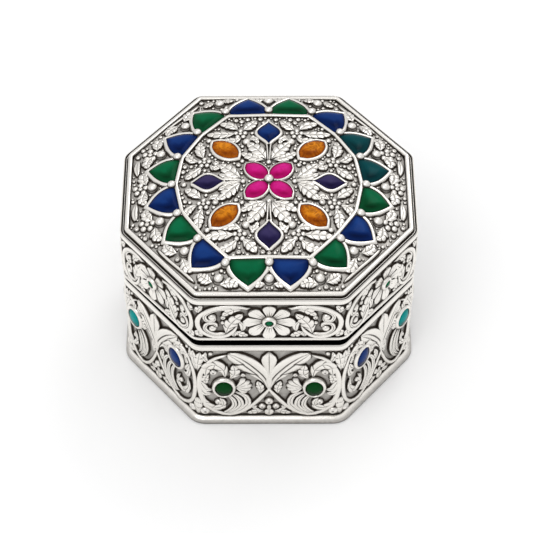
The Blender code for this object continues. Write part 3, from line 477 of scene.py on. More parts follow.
PATTERNS = {
    "leaf": shape_leaf("leaf pattern", lobes=4),
    "frond": shape_leaf("frond pattern", lobes=3, depth=0.26),
    "blade": shape_leaf("blade pattern", lobes=2, depth=0.0, lean=0.0, point=0.6),
    "bud": shape_leaf("bud pattern", lobes=2, depth=0.0, lean=0.0, point=1.0, start=2.7),
    "plume": shape_plume("plume pattern", 1),
    "left plume": shape_plume("left plume pattern", -1),
    "stem": shape_stem("stem pattern"),
    "ribbed stem": shape_stem("ribbed stem pattern", groove=0.75),
    "petal": shape_petal("petal pattern"),
    "shell": shape_shell("shell pattern"),
    "grain": shape_grain("grain pattern", drilled=False),
    "berry": shape_grain("berry pattern", drilled=True),
    "bead": shape_grain("bead pattern", drilled=False, polished=True),
}
SHAPES = {kind: points_of(pattern.data) for kind, pattern in PATTERNS.items()}
# Width of the dark edge of tarnish and painted shadow, and heights over the ground of the edge and of a
# pattern's foot, in mm
EDGE_WIDTH, EDGE_HEIGHT, FOOT_HEIGHT = 0.32, -0.03, 0.08


def smooth_path(points, count=40):
    """A smooth curve through points in a plane, with its length up to each place on it."""
    p = np.array(points, float)
    if len(p) == 2:
        p = np.array([p[0], (p[0] + p[1]) / 2, p[1]])
    p = np.vstack([2 * p[0] - p[1], p, 2 * p[-1] - p[-2]])
    places = []
    for a, b, c, d in zip(p, p[1:], p[2:], p[3:]):
        t = np.linspace(0, 1, count // (len(p) - 3) + 2)[:-1, None]
        squared, cubed = 2 * a - 5 * b + 4 * c - d, 3 * b - a - 3 * c + d
        places.append(0.5 * (2 * b + (c - a) * t + squared * t**2 + cubed * t**3))
    path = np.vstack([*places, p[-2][None]])
    return path, np.concatenate([[0], np.cumsum(np.linalg.norm(np.diff(path, axis=0), axis=1))])


def press(laid, kind, shaped):
    """Copies a pattern, with its points moved to their places on the flat."""
    mesh = PATTERNS[kind].data.copy()
    mesh.vertices.foreach_set("co", np.ascontiguousarray(shaped, np.float32).ravel())
    copy = bpy.data.objects.new(kind, mesh)
    bpy.context.scene.collection.objects.link(copy)
    laid.append(copy)


def lay(laid, kind, points, half_width, height=0.8, edge=EDGE_WIDTH):
    """Lays a pattern along a curve, with its dark edge of tarnish and painted shadow on the ground round its
    foot.
    """
    path, reached = smooth_path(points)
    shape = SHAPES[kind]
    at = shape[:, 1] * reached[-1]
    x, y = np.interp(at, reached, path[:, 0]), np.interp(at, reached, path[:, 1])
    ahead = np.minimum(at + 0.02 * reached[-1], reached[-1])
    behind = np.maximum(at - 0.02 * reached[-1], 0)
    dx = np.interp(ahead, reached, path[:, 0]) - np.interp(behind, reached, path[:, 0])
    dy = np.interp(ahead, reached, path[:, 1]) - np.interp(behind, reached, path[:, 1])
    length = np.maximum(np.hypot(dx, dy), 1e-9)
    outside = shape[:, 2] == EDGE
    edge = 0.0 if kind == "shell" else edge
    across = shape[:, 0] * half_width + np.sign(shape[:, 0]) * outside * edge
    beyond = np.maximum(at - reached[-1], 0)
    beyond += outside * edge * (1.0 * (shape[:, 1] > 0.97) - (shape[:, 1] < 0.03))
    press(laid, kind, np.column_stack([
        x + dy / length * across + dx / length * beyond,
        y - dx / length * across + dy / length * beyond,
        np.where(outside, EDGE_HEIGHT, np.where(shape[:, 2] == FOOT, FOOT_HEIGHT, shape[:, 2] * height)),
    ]))


def set_grain(laid, kind, place, radius, height=None, lift=0.12):
    """Sets a grain, a berry or a bead down on the flat, as high as it is wide unless a height is given."""
    shape = SHAPES[kind]
    outside = shape[:, 2] == EDGE
    reach = radius + 0.1 * outside
    press(laid, kind, np.column_stack([
        place[0] + shape[:, 0] * reach, place[1] + shape[:, 1] * reach,
        np.where(outside, EDGE_HEIGHT, shape[:, 2] * (height or radius) + lift),
    ]))


def solder(laid, name, fold, material, body):
    """Joins what was laid on the flat into one piece, and folds the flat to its place on the box."""
    pick(laid[0])
    for copy in laid:
        copy.select_set(True)
    bpy.ops.object.join()
    relief = bpy.context.object
    relief.name = relief.data.name = name
    folded = fold(points_of(relief.data)) * MM
    relief.data.vertices.foreach_set("co", folded.astype(np.float32).ravel())
    relief.data.update()
    relief.data.materials.clear()
    relief.data.materials.append(material)
    pick(relief)
    bpy.ops.object.shade_smooth_by_angle(angle=math.radians(50))
    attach(relief, body)
    return relief


# Relief on the eight panels of the base. Two stems cross in the middle and curl round the buttons,
# with a palmette above, fronds round each button, and grains below. It is cast in one with the wall.

def face_fold(index, inset):
    """Folds a flat of (along, height, outward) onto a face of the octagon, and on round its corners."""
    normal = FACES[index][0]
    start, end = octagon_corner(index, inset), octagon_corner((index + 1) % 8, inset)
    middle, half_face = (start + end) / 2, (end - start).length / 2
    radius = corner_radius(inset)
    turns = (FACES[index - 1][0].angle(normal), normal.angle(FACES[(index + 1) % 8][0]))

    def fold(flat):
        u, v, out = flat[:, 0], flat[:, 1], flat[:, 2]
        turn = np.where(u < 0, turns[0], turns[1])
        straight = half_face - radius * np.tan(turn / 2)
        beyond = np.maximum(np.abs(u) - straight, 0)
        bend = np.minimum(beyond / radius, turn)
        past = beyond - bend * radius
        along = np.minimum(np.abs(u), straight) + (radius + out) * np.sin(bend) + past * np.cos(bend)
        along *= np.sign(u)
        out = (radius + out) * np.cos(bend) - radius - past * np.sin(bend)
        return np.column_stack([middle.x - normal.y * along + normal.x * out,
                                middle.y + normal.x * along + normal.y * out, v])

    return fold


DIAGONAL_SHIFT = 1.85


def panel_shift(index):
    """The middle of a diagonal face's design stands a little towards the box's left and right sides."""
    return {1: DIAGONAL_SHIFT, 3: -DIAGONAL_SHIFT, 5: DIAGONAL_SHIFT, 7: -DIAGONAL_SHIFT}.get(index, 0.0)


def button_middle(index):
    """A button's place from the middle of its face's design, and its height."""
    if index % 4 == 0:
        return 11.2, 14.4
    return (8.1, 19.8) if index % 2 else (6.6, 19.8)


# The reliefs are drawn for half of the front, this wide, with this much room above and below a button
DRAWN_WIDTH, DRAWN_ABOVE, DRAWN_BELOW = 18.1, 15.1, 12.0
PANEL_LOW, PANEL_HIGH = 2.4, 29.5


def panel_share(index, side):
    """Room on one half of a face for the relief, as a share of the width that it is drawn for."""
    start, end = octagon_corner(index, PANEL_INSET), octagon_corner((index + 1) % 8, PANEL_INSET)
    return ((end - start).length / 2 - side * panel_shift(index) - 0.1) / DRAWN_WIDTH


# Pattern, points, half width and height, on the front's right half
BASE_STEMS = [
    ("stem", [(-0.9, 15.6), (0.5, 12.6), (3.4, 7.9), (6.6, 4.4), (10.2, 2.8), (13.8, 4.2), (16.5, 7.8),
              (17.6, 13.6), (17.3, 19.5), (15.6, 24.3), (12.9, 26.8), (9.6, 27.8)], 0.62, 0.8),
    ("plume", [(0.35, 14.0), (1.5, 18.2), (4.0, 22.2), (6.7, 25.4), (10.1, 28.4)], 3.1, 1.0),
    ("frond", [(2.3, 11.6), (2.1, 13.6), (2.9, 16.6)], 1.15, 0.6),
    ("frond", [(1.4, 4.3), (3.2, 3.9), (5.6, 3.1)], 1.05, 0.6),
    ("blade", [(4.4, 6.1), (3.4, 4.9), (2.5, 4.7)], 0.5, 0.5),
    ("frond", [(17.9, 21.4), (17.7, 24.4), (17.2, 28.6)], 1.25, 0.7),
    ("frond", [(18.0, 2.7), (18.0, 6.0), (17.9, 9.6)], 1.1, 0.7),
    ("blade", [(15.2, 24.6), (16.1, 26.4), (15.8, 28.7)], 0.7, 0.6),
]
# Round a button, measured from its centre
BASE_WHORL = [
    ("leaf", [(-0.4, 4.1), (0.0, 7.4), (2.0, 9.7), (4.0, 8.7), (4.6, 5.2)], 1.95, 0.95),
    ("frond", [(-1.5, 3.6), (-2.8, 5.8), (-2.6, 9.2)], 1.55, 0.8),
    ("frond", [(3.6, 5.6), (4.7, 3.9), (4.4, 1.6)], 1.1, 0.75),
    ("shell", [(-2.9, 0.2), (-7.3, 0.6)], 4.0, 0.9),
    ("blade", [(-2.8, -1.9), (-5.5, -3.8), (-6.0, -7.2), (-3.4, -10.4), (-0.8, -11.6)], 0.82, 0.8),
    ("blade", [(-2.1, -2.8), (-3.9, -4.9), (-4.2, -7.8), (-2.2, -10.2), (-0.2, -11.3)], 0.8, 0.85),
    ("blade", [(-1.1, -3.3), (-2.4, -5.6), (-2.5, -8.0), (-0.9, -10.1), (0.4, -10.8)], 0.74, 0.85),
    ("leaf", [(5.2, -2.4), (5.2, -6.0), (3.1, -8.5), (0.7, -8.1), (0.2, -6.1), (1.2, -4.8)], 1.4, 0.85),
    ("blade", [(3.0, -1.0), (4.6, -0.7), (5.9, 2.6)], 1.0, 0.75),
    ("blade", [(3.2, -2.6), (4.9, -2.5), (6.2, 0.4)], 0.95, 0.7),
]
WHORL_GRAINS = [("berry", (2.6, 6.4), 1.05), ("berry", (1.5, -6.3), 1.0), ("berry", (-4.9, 5.0), 0.7)]
BASE_GRAINS = [("berry", (0.0, 8.4), 1.2), ("berry", (1.8, 6.2), 0.95), ("grain", (3.5, 5.9), 0.45),
               ("berry", (16.4, 4.6), 1.35), ("berry", (16.3, 27.2), 0.9), ("grain", (14.6, 28.1), 0.6)]

for index in range(8):
    shift = panel_shift(index)
    button_u, button_v = button_middle(index)
    above = min(1.0, (PANEL_HIGH - button_v) / DRAWN_ABOVE)
    below = min(1.35, (button_v - PANEL_LOW) / DRAWN_BELOW)
    laid = []
    lay(laid, "bud", [(shift, 17.8), (shift, 28.9)], 2.05, 1.0)
    lay(laid, "blade", [(shift, 6.6), (shift, 4.4)], 0.55, 0.6)
    lay(laid, "blade", [(shift, 4.8), (shift, 2.3)], 1.25, 0.7)
    for side, plume in ((1, "plume"), (-1, "left plume")):
        share = panel_share(index, side)
        breadth = 0.4 + 0.6 * share
        whorl_breadth = breadth * min(1.0, above + 0.25)

        def round_button(u, v):
            return shift + side * (button_u + u * share), button_v + v * (above if v > 0 else below)

        for kind, points, half_width, height in BASE_STEMS:
            kind = plume if kind == "plume" else kind
            lay(laid, kind, [(shift + side * u * share, v) for u, v in points], half_width * breadth, height)
        for kind, points, half_width, height in BASE_WHORL:
            lay(laid, kind, [round_button(u, v) for u, v in points], half_width * whorl_breadth, height)
        for kind, (u, v), radius in WHORL_GRAINS:
            set_grain(laid, kind, round_button(u, v), radius * whorl_breadth)
        for kind, (u, v), radius in BASE_GRAINS:
            if u or side > 0:
                set_grain(laid, kind, (shift + side * u * share, v), radius * breadth)
    relief = solder(laid, f"base_relief_{index}", face_fold(index, PANEL_INSET), cast_silver, "base")
    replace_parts(relief, "base_wall")


# Buttons of the base, two on each face. Each is a drop of fired enamel, domed and polished, in a
# round silver bezel that is rubbed over its edge.

def make_enamel(name, deep, clear, dark, grain=260.0, streaks=0.0, polish=0.16):
    """Fired enamel, from clear through deep to dark as its painted shade grows, with a slight ripple."""
    material = bpy.data.materials.new(name)
    material.use_nodes = True
    tree = material.node_tree
    shader = tree.nodes["Principled BSDF"]
    place = add_node(tree, "TexCoord").outputs["Object"]
    cloud = add_node(tree, "TexNoise", {"Vector": place, "Scale": grain, "Detail": 3.0})
    depth = add_node(tree, "Attribute", attribute_name="tone_and_shade").outputs["Fac"]
    spread = calculate(tree, "MULTIPLY_ADD", cloud.outputs["Fac"], 0.5, -0.25)
    level = calculate(tree, "ADD", depth, spread)
    ramp = add_node(tree, "ValToRGB", {"Fac": level})
    ramp.color_ramp.elements[0].color = (*clear, 1)
    ramp.color_ramp.elements[1].color = (*dark, 1)
    ramp.color_ramp.elements.new(0.5).color = (*deep, 1)
    colour = ramp.outputs["Color"]
    if streaks:
        veins = add_node(tree, "TexNoise", {"Vector": place, "Scale": 500.0, "Detail": 5.0,
                                            "Distortion": 2.5})
        colour = blend(tree, remap(tree, veins.outputs["Fac"], 0.42, 0.62, streaks), colour, (*dark, 1))
    tree.links.new(colour, shader.inputs["Base Color"])
    shader.inputs["Roughness"].default_value = polish
    shader.inputs["Specular IOR Level"].default_value = 0.04
    ripple = add_node(tree, "TexNoise", {"Vector": place, "Scale": 350.0, "Detail": 1.0})
    bump = add_node(tree, "Bump", {"Strength": 0.05, "Distance": 0.0004, "Height": ripple.outputs["Fac"]})
    tree.links.new(bump.outputs["Normal"], shader.inputs["Normal"])
    material.diffuse_color = (*deep, 1)
    return material


ENAMELS = {
    name: make_enamel(name + " enamel", *colours, **finish) for name, colours, finish in (
        ("green", [(0.0008, 0.06, 0.019), (0.002, 0.13, 0.05), (0.0005, 0.018, 0.005)], {}),
        ("dark green", [(0.0003, 0.034, 0.004), (0.0005, 0.05, 0.008), (0.0001, 0.01, 0.001)], {}),
        ("blue", [(0.0015, 0.013, 0.085), (0.008, 0.04, 0.185), (0.0005, 0.003, 0.024)], {}),
        ("teal", [(0.001, 0.036, 0.042), (0.002, 0.06, 0.068), (0.0005, 0.008, 0.012)], {}),
        ("turquoise", [(0.001, 0.19, 0.18), (0.002, 0.29, 0.28), (0.0005, 0.07, 0.06)], {}),
        ("violet", [(0.015, 0.011, 0.052), (0.042, 0.033, 0.105), (0.004, 0.002, 0.018)], {}),
        ("amber", [(0.38, 0.092, 0.003), (0.74, 0.26, 0.014), (0.12, 0.02, 0.001)],
         {"grain": 420.0, "streaks": 0.6, "polish": 0.14}),
        ("pink", [(0.44, 0.003, 0.13), (0.62, 0.016, 0.24), (0.22, 0.0005, 0.05)],
         {"grain": 600.0, "streaks": 0.18, "polish": 0.3}),
    )
}


def add_cabochon(name, outline, foot, girdle, crown, lift_of, enamel, body, *nodes):
    """A domed stone in an outline, with its heights over the ground, in mm. lift_of carries it there."""
    centre = sum(outline, Vector((0, 0))) / len(outline)
    lowest = min(outline, key=lambda p: p.y).y
    steps = [("foot", 1.0), ("girdle", 1.0)]
    steps += [("dome", scale) for scale in (0.97, 0.9, 0.78, 0.6, 0.4, 0.2, 0.0)]
    loop = outline + outline[:1]

    def place(i, j):
        part, scale = steps[j]
        point = centre.lerp(loop[i], scale)
        if part == "dome":
            height = girdle + (crown - girdle) * (1 - scale ** 2.4) ** 0.75
        else:
            height = foot if part == "foot" else girdle
        # Painted shade: darker at the rim by the bezel and halfway to the front, and paler behind, as if lit
        # from behind and above
        forward = (centre.y - point.y) / max(centre.y - lowest, 1e-6)
        near = max(0.0, 1 - abs(scale - 0.5) * 2.6)
        tone_and_shade = 0.13 + 0.66 * scale ** 4 + near * (1.5 * max(0.0, forward) - 0.3 * max(0.0, -forward))
        return *lift_of(point.x, point.y, height), min(max(tone_and_shade, 0.0), 1.0)

    stone = close_up(add_sheet(name, len(outline), len(steps) - 1, place), 60)
    stone.data.materials.append(enamel)
    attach(stone, body)
    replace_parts(stone, *nodes)


def sweep_bezel(laid, outline, profile):
    """A closed strip round an outline. The profile gives (outward, height, darkness of tarnish and painted
    shade). It lies on the flat.
    """
    count = len(outline)
    offsets = []
    for i, point in enumerate(outline):
        before = (point - outline[i - 1]).normalized()
        after = (outline[(i + 1) % count] - point).normalized()
        out = Vector((before.y, -before.x)) + Vector((after.y, -after.x))
        offsets.append(out / max(1 + before.dot(after), 0.75))

    def place(i, j):
        outward, height, tone_and_shade = profile[j]
        point = outline[i % count] + offsets[i % count] * outward
        return point.x, point.y, height, tone_and_shade

    strip = add_sheet("bezel", count, len(profile) - 1, place)
    merge_seam(strip, threshold=1e-5)
    laid.append(strip)


def round_outline(middle, radius, tallness, count=40):
    turns = [2 * math.pi * k / count for k in range(count)]
    return [Vector((middle[0] + radius * math.cos(a), middle[1] + radius * tallness * math.sin(a)))
            for a in turns]


# Outward, height and darkness of tarnish and painted shade, from the ground outside up over the lip and down
# to the stone. The dark edge on the ground outside is tarnish and painted shadow, and the dark inner wall by
# the stone is painted shadow.
BEZEL = [(1.12, -0.03, 1.0), (0.86, 0.08, 1.0), (0.84, 0.35, 0.3), (0.74, 0.8, 0.0), (0.5, 1.05, 0.0),
         (0.2, 1.12, 0.0), (0.03, 1.0, 0.05), (0.0, 0.8, 0.8), (0.0, 0.2, 1.0)]
FACE_NAMES = ("front", "front_right", "right", "back_right", "back", "back_left", "left", "front_left")
for index, face in enumerate(FACE_NAMES):
    shift = panel_shift(index)
    button_u, button_v = button_middle(index)
    fold = face_fold(index, PANEL_INSET)
    colours = ("dark green", "dark green")
    if index % 2:
        colours = ("blue", "turquoise") if index in (1, 5) else ("turquoise", "blue")
    laid = []
    for number, side in enumerate((-1, 1)):
        enamel = colours[number]
        radius = 2.35 if enamel == "blue" else 2.15
        middle = (shift + side * button_u, button_v)
        outline = round_outline(middle, radius, 1.42)
        sweep_bezel(laid, outline, [(out * 1.05, height * 1.15, tone_and_shade) for out, height, tone_and_shade in BEZEL])

        def on_face(u, v, out):
            return tuple(fold(np.array([[u, v, out]]))[0] * MM)

        add_cabochon(f"enamel_{face}_{number + 1}", outline, 0.1, 0.9, 1.55, on_face, ENAMELS[enamel],
                     "base", f"button_{face}_{number + 1}")
    solder(laid, f"button_bezels_{face}", fold, cast_silver, "base")


# Foot and rim of the base. Two drawn mouldings, bent round the wall and soldered to it. They are the
# brightest silver on the box, because they are rubbed by every hand and cloth.

moulding_silver = make_silver("moulding silver", polish=0.16, marks=0.08, attribute="tone_and_shade")
FOOT_INNER = PANEL_INSET - 0.08


def rounded(outer, inner, low, high, rows=6, squareness=0.7):
    """The outer side of a moulding, from low to high, bulging from inner out to outer."""
    profile = []
    for k in range(rows + 1):
        turn = math.pi * k / rows
        bulge = abs(math.sin(turn)) ** squareness
        height = (low + high) / 2 - (high - low) / 2 * math.cos(turn)
        profile.append((inner + (outer - inner) * bulge, height, 0.0))
    return profile


# The foot's outer side is darker towards the bottom, as painted shade under the moulding
foot = carry_round(
    "foot_band",
    [(FOOT_INNER, 0.0, 0.4), (-0.7, 0.0, 0.7), (-1.0, 0.15, 0.8), (-1.1, 0.4, 0.66), (-1.1, 0.7, 0.6),
     (-1.0, 1.0, 0.52), (-0.75, 1.3, 0.42), (-0.4, 1.55, 0.26), (0.0, 1.74, 0.1), (0.3, 1.86, 0.26),
     (0.45, 1.88, 0.5), (FOOT_INNER, 1.88, 0.95)],
    moulding_silver, "base", 50,
)
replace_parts(foot, "foot_moulding")
# The top of the rim, in the gap under the lid, is darkened to black as painted shadow
rim = carry_round(
    "rim_band",
    [(FOOT_INNER, 29.5, 1.0), (0.35, 29.5, 0.4), *rounded(0.0, 0.22, 29.55, 31.3), (0.26, 31.45, 0.35),
     (0.34, BASE_HEIGHT, 0.6), (0.44, BASE_HEIGHT, 1.8), (FOOT_INNER, BASE_HEIGHT, 2.0)],
    moulding_silver, "base", 50,
)
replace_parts(rim, "base_rim_moulding")


# Wall of the lid, with its edge, shoulder and groove wire. The wall is cast, and its lower edge rises
# to the front as a thumb gap. The mouldings are drawn, and soldered over its two edges.

LID_BOTTOM = BASE_HEIGHT + 0.25
THUMB_GAP = 2.0
WALL_TOP = 47.55
LID_GROUND = GROUND + 0.14


def lid_edge(y):
    """Height of the lid's lower edge, which rises in front of the middle."""
    return LID_BOTTOM + THUMB_GAP * max(0.0, -y / HALF_DEPTH)


def above_edge(height):
    return lambda y: lid_edge(y) + height


lid_wall = carry_round(
    "lid_wall_casting",
    [(PANEL_INSET, above_edge(0.0), 0.4), (PANEL_INSET, above_edge(1.05), 1.0),
     (PANEL_INSET, above_edge(1.7), LID_GROUND), (PANEL_INSET, 46.9, LID_GROUND),
     (PANEL_INSET, WALL_TOP, 1.0), (WALL_BACK, WALL_TOP, 0.0), (WALL_BACK, above_edge(0.0), 0.1)],
    cast_silver, "lid",
)
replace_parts(lid_wall, "lid_wall")
edge = carry_round(
    "lid_edge_band",
    [(FOOT_INNER, above_edge(0.0), 0.2), (0.25, above_edge(0.0), 0.1), (0.06, above_edge(0.16), 0.0),
     (0.0, above_edge(0.4), 0.0), (0.04, above_edge(0.72), 0.0), (0.2, above_edge(0.95), 0.05),
     (FOOT_INNER, above_edge(1.0), 1.0)],
    moulding_silver, "lid", 50,
)
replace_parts(edge, "lid_edge_moulding")
# Height of the shoulder's flat inner step, on which the frame and the domed top lie
SEAT = 48.13
shoulder = carry_round(
    "shoulder_band",
    [(0.4, 47.63, 1.0), (0.15, 47.66, 0.8), *rounded(0.0, 0.15, 47.7, 49.2, squareness=0.6),
     (0.28, 49.38, 0.1), (0.42, 49.3, 0.9), (0.5, 48.75, 1.0), (0.77, 48.7, 1.0), (0.77, SEAT, 0.6),
     (3.68, SEAT, 0.1), (3.68, SEAT - 0.6, 0.1), (1.78, SEAT - 0.6, 0.1), (1.78, 47.63, 0.2)],
    moulding_silver, "lid", 50,
)
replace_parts(shoulder, "lid_shoulder")
carry_round(
    "groove_wire",
    [(0.83 - 0.17 * math.cos(math.pi / 4 * k), 49.05 + 0.2 * math.sin(math.pi / 4 * k), 0.15)
     for k in range(8)],
    moulding_silver, "lid", 80,
)


# Relief on the eight panels of the lid's wall. An eight-petalled flower stands in the middle, with a
# C-scroll on each side that ends in two curls. The flower's eye is a small green enamel.

FLOWER_HEIGHT = 41.05
# A point this far out along the normal of a diagonal face has about the y of the face's middle
DIAGONAL_REACH = 22
# Height of the lid's edge on the front, for which the relief is drawn
DRAWN_EDGE = LID_BOTTOM + THUMB_GAP
# Pattern, points, half width and height, on the front's right half
LID_SCROLLS = [
    ("stem", [(4.2, 46.0), (7.6, 46.9), (12.0, 46.7), (16.0, 44.6), (17.4, 41.2), (16.6, 37.6),
              (13.8, 35.5), (10.8, 35.6), (8.8, 37.4), (7.6, 40.2)], 0.6, 0.85),
    ("leaf", [(10.6, 36.6), (9.8, 39.6), (8.2, 42.2), (6.4, 44.0)], 1.9, 0.85),
    ("frond", [(6.6, 45.9), (9.0, 45.6), (11.4, 43.4)], 1.3, 0.75),
    ("ribbed stem", [(9.0, 46.2), (13.0, 45.6), (15.6, 43.6), (15.2, 41.6), (13.6, 41.6), (13.0, 43.0)],
     0.6, 0.7),
    ("ribbed stem", [(10.4, 36.6), (13.4, 36.3), (15.6, 38.2), (15.2, 40.2), (13.4, 40.4), (12.6, 38.9)],
     0.6, 0.7),
    ("frond", [(8.6, 37.4), (6.9, 36.4), (5.2, 35.6)], 1.1, 0.7),
    ("blade", [(7.2, 41.0), (6.4, 39.4), (6.6, 37.4)], 0.8, 0.6),
    ("frond", [(17.2, 44.6), (17.1, 46.0), (16.2, 47.2)], 1.0, 0.7),
    ("frond", [(17.3, 38.4), (17.2, 36.8), (16.4, 35.4)], 1.0, 0.7),
]
LID_GRAINS = [("grain", (13.9, 43.0), 1.05), ("grain", (13.8, 38.7), 1.05), ("berry", (8.6, 36.2), 0.8),
              ("berry", (11.2, 42.6), 0.7), ("grain", (11.3, 40.6), 0.6)]
for index, face in enumerate(FACE_NAMES):
    shift = panel_shift(index)
    laid = []
    petal_length = 6.3 if index % 4 == 0 else 5.7
    for k in range(8):
        turn = math.pi / 4 * k
        points = [(shift + math.sin(turn) * reach, FLOWER_HEIGHT + math.cos(turn) * reach)
                  for reach in (1.2, petal_length)]
        lay(laid, "petal", points, petal_length * 0.282, 0.95, edge=0.14)
    normal, distance = FACES[index]
    bottom = lid_edge(normal.y * (distance if index % 4 == 0 else DIAGONAL_REACH))
    for side in (1, -1):
        share = panel_share(index, side)

        def placed(u, v):
            lift = max(0.0, 44 - v) / 8.5
            return shift + side * u * share, v + lift * (bottom - DRAWN_EDGE) * 0.9

        for kind, points, half_width, height in LID_SCROLLS:
            lay(laid, kind, [placed(u, v) for u, v in points], half_width * (0.5 + 0.5 * share), height)
        for kind, (u, v), radius in LID_GRAINS:
            set_grain(laid, kind, placed(u, v), radius * (0.4 + 0.6 * share))
    eye = round_outline((shift, FLOWER_HEIGHT), 0.95, 1.15, 24)
    sweep_bezel(laid, eye, [(out * 0.95, height * 1.1, tone_and_shade) for out, height, tone_and_shade in BEZEL])
    fold = face_fold(index, PANEL_INSET)
    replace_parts(solder(laid, f"lid_relief_{index}", fold, cast_silver, "lid"), "lid_wall")

    def on_lid_face(u, v, out):
        return tuple(fold(np.array([[u, v, out]]))[0] * MM)

    add_cabochon(f"flower_eye_{face}", eye, 0.1, 0.85, 1.3, on_lid_face, ENAMELS["green"], "lid")


# Frame round the top. A flat silver band stands on the shoulder, and holds down the edge of the
# domed top. Its face is polished, with a fine line of tarnish along each side.

frame_band = carry_round(
    "frame_band",
    [(0.85, 48.21, 1.0), (0.85, 48.8, 1.0), (1.16, 48.85, 1.0), (1.2, 49.5, 0.9), (1.22, 49.95, 0.15),
     (1.3, 50.24, 0.0), (1.45, 50.36, 0.0), (2.08, 50.36, 0.0), (2.22, 50.27, 0.0), (2.3, 50.05, 0.1),
     (2.3, 49.6, 1.0), (2.3, 48.21, 1.0)],
    moulding_silver, "lid", 50,
)
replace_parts(frame_band, "lid_frame")


# Domed top. It is silver sheet 0.7 mm thick, raised with the hammer over a stake, planished smooth
# and set on the shoulder's seat under the frame.

DOME_INSET = 2.38
DOME_EDGE, DOME_RISE, DOME_THICKNESS = 48.91, 4.35, 0.7
dome_reach = max(octagon_corner(i, DOME_INSET).length for i in range(8))


def dome_height(x, y):
    """Height of the domed top's upper face, from DOME_EDGE at its farthest corners."""
    return DOME_EDGE + DOME_RISE * (1 - (x * x + y * y) / dome_reach**2)


def reach_out(corners, turn):
    """Where a ray at that angle leaves a convex outline of corners."""
    ray = Vector((math.cos(turn), math.sin(turn)))
    best = 1e9
    for a, b in zip(corners, corners[1:] + corners[:1]):
        normal = Vector((b.y - a.y, a.x - b.x))
        if normal.dot(ray) > 1e-6:
            best = min(best, normal.dot(a) / normal.dot(ray))
    return ray * best


PLATE_TURNS = [round(-math.pi / 2 + 2 * math.pi * k / 128, 6) for k in range(128)]
dome_edge = [reach_out([octagon_corner(i, DOME_INSET) for i in range(8)], t) for t in PLATE_TURNS]
DOME_ROWS = 12


def dome_place(i, j):
    """The upper face runs from the middle to the edge, and the lower one back to the middle."""
    above = j <= DOME_ROWS
    point = dome_edge[i % len(dome_edge)] * ((j if above else 2 * DOME_ROWS + 1 - j) / DOME_ROWS)
    height = dome_height(point.x, point.y) - (0 if above else DOME_THICKNESS)
    return point.x * MM, point.y * MM, height * MM, 0.0


dome = close_up(add_sheet("dome_sheet", len(dome_edge), 2 * DOME_ROWS + 1, dome_place))
dome.data.materials.append(sheet_silver)
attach(dome, "lid")
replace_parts(dome, "lid_dome")


# Plates on the domed top: a round one of sixteen sides, a border plate, and the ring of square wire
# between them. Both plates are silver sheet, bent to the dome and pinned to it.

RING_RADIUS, RING_HALF_WIDTH = HALF_DEPTH - DOME_INSET - 8.22, 0.38
PLATE_LIFT = 0.5


def ground(x, y):
    """Height of the plates' upper face over a point of the top."""
    return dome_height(x, y) + PLATE_LIFT


def dome_fold(flat):
    """Carries a flat of (x, y, height) onto the plates."""
    x, y = flat[:, 0], flat[:, 1]
    return np.column_stack([x, y, ground(x, y) + flat[:, 2]])


def on_dome(x, y, height):
    return x * MM, y * MM, (ground(x, y) + height) * MM


def heading(degrees):
    """A direction on the top, turned anticlockwise from the right."""
    turn = math.radians(degrees)
    return Vector((math.cos(turn), math.sin(turn)))


# How far corners 1, 5, 6, 7 and 8, and their mirror images, stand to the side and to the back
RING_SPREAD = {1: (0.35, 0.0), 5: (0.4, 0.0), 6: (0.7, 0.3), 7: (0.8, 0.6), 8: (0.0, 0.6)}


def ring_corner(index, outward=0.0):
    """Corner of the sixteen-sided ring. Its front and back sides are straight over two petals."""
    radius = RING_RADIUS / (math.cos(math.pi / 8) if index % 8 in (1, 7) else 1)
    corner = heading(-90 + 22.5 * index) * (radius + outward)
    aside, back = RING_SPREAD.get(min(index % 16, -index % 16), (0.0, 0.0))
    return corner + Vector((math.copysign(aside, corner.x), back))


plate_silver = make_silver("plate silver", polish=0.22, marks=0.1, attribute="tone_and_shade", shade=0.5)
# Tarnish of the plates' ground, and how far their edges are turned down
PLATE_GROUND, PLATE_DEPTH = 0.5, 0.35


def plate(name, inner, outer, rows, node):
    """A thin plate on the dome between two outlines, with its turned-down edges."""
    count = len(outer)
    sides = [(k / rows, 0.0) for k in range(rows + 1)] + [(1.0, -PLATE_DEPTH), (0.0, -PLATE_DEPTH)]

    def place(i, j):
        share, drop = sides[j % len(sides)]
        point = inner[i % count].lerp(outer[i % count], share)
        return *on_dome(point.x, point.y, drop), PLATE_GROUND

    sheet = close_up(add_sheet(name, count, len(sides), place), 50)
    sheet.data.materials.append(plate_silver)
    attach(sheet, "lid")
    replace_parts(sheet, node)


ring_inner = [ring_corner(i, -RING_HALF_WIDTH) for i in range(16)]
ring_outer = [ring_corner(i, RING_HALF_WIDTH) for i in range(16)]
frame_inner = [octagon_corner(i, DOME_INSET + 0.08) for i in range(8)]
plate("medallion_ground", [reach_out(ring_inner, t) * 0.001 for t in PLATE_TURNS],
      [reach_out(ring_inner, t) for t in PLATE_TURNS], 14, "medallion_plate")
plate("border_ground", [reach_out(ring_outer, t) for t in PLATE_TURNS],
      [reach_out(frame_inner, t) for t in PLATE_TURNS], 5, "border_plate")
laid = []
# The ring wire's dark edge on the plates is tarnish and painted shadow
sweep_bezel(laid, [ring_corner(i) for i in range(16)],
            [(-0.7, -0.03, 0.9), (-0.57, 0.08, 1.0), (-0.56, 0.6, 0.3), (-0.5, 0.86, 0.0), (-0.34, 0.97, 0.0),
             (0.0, 1.0, 0.0), (0.26, 0.97, 0.0), (0.38, 0.86, 0.0), (0.42, -0.3, 0.5)])
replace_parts(solder(laid, "ring_wire", dome_fold, moulding_silver, "lid"), "medallion_ring")


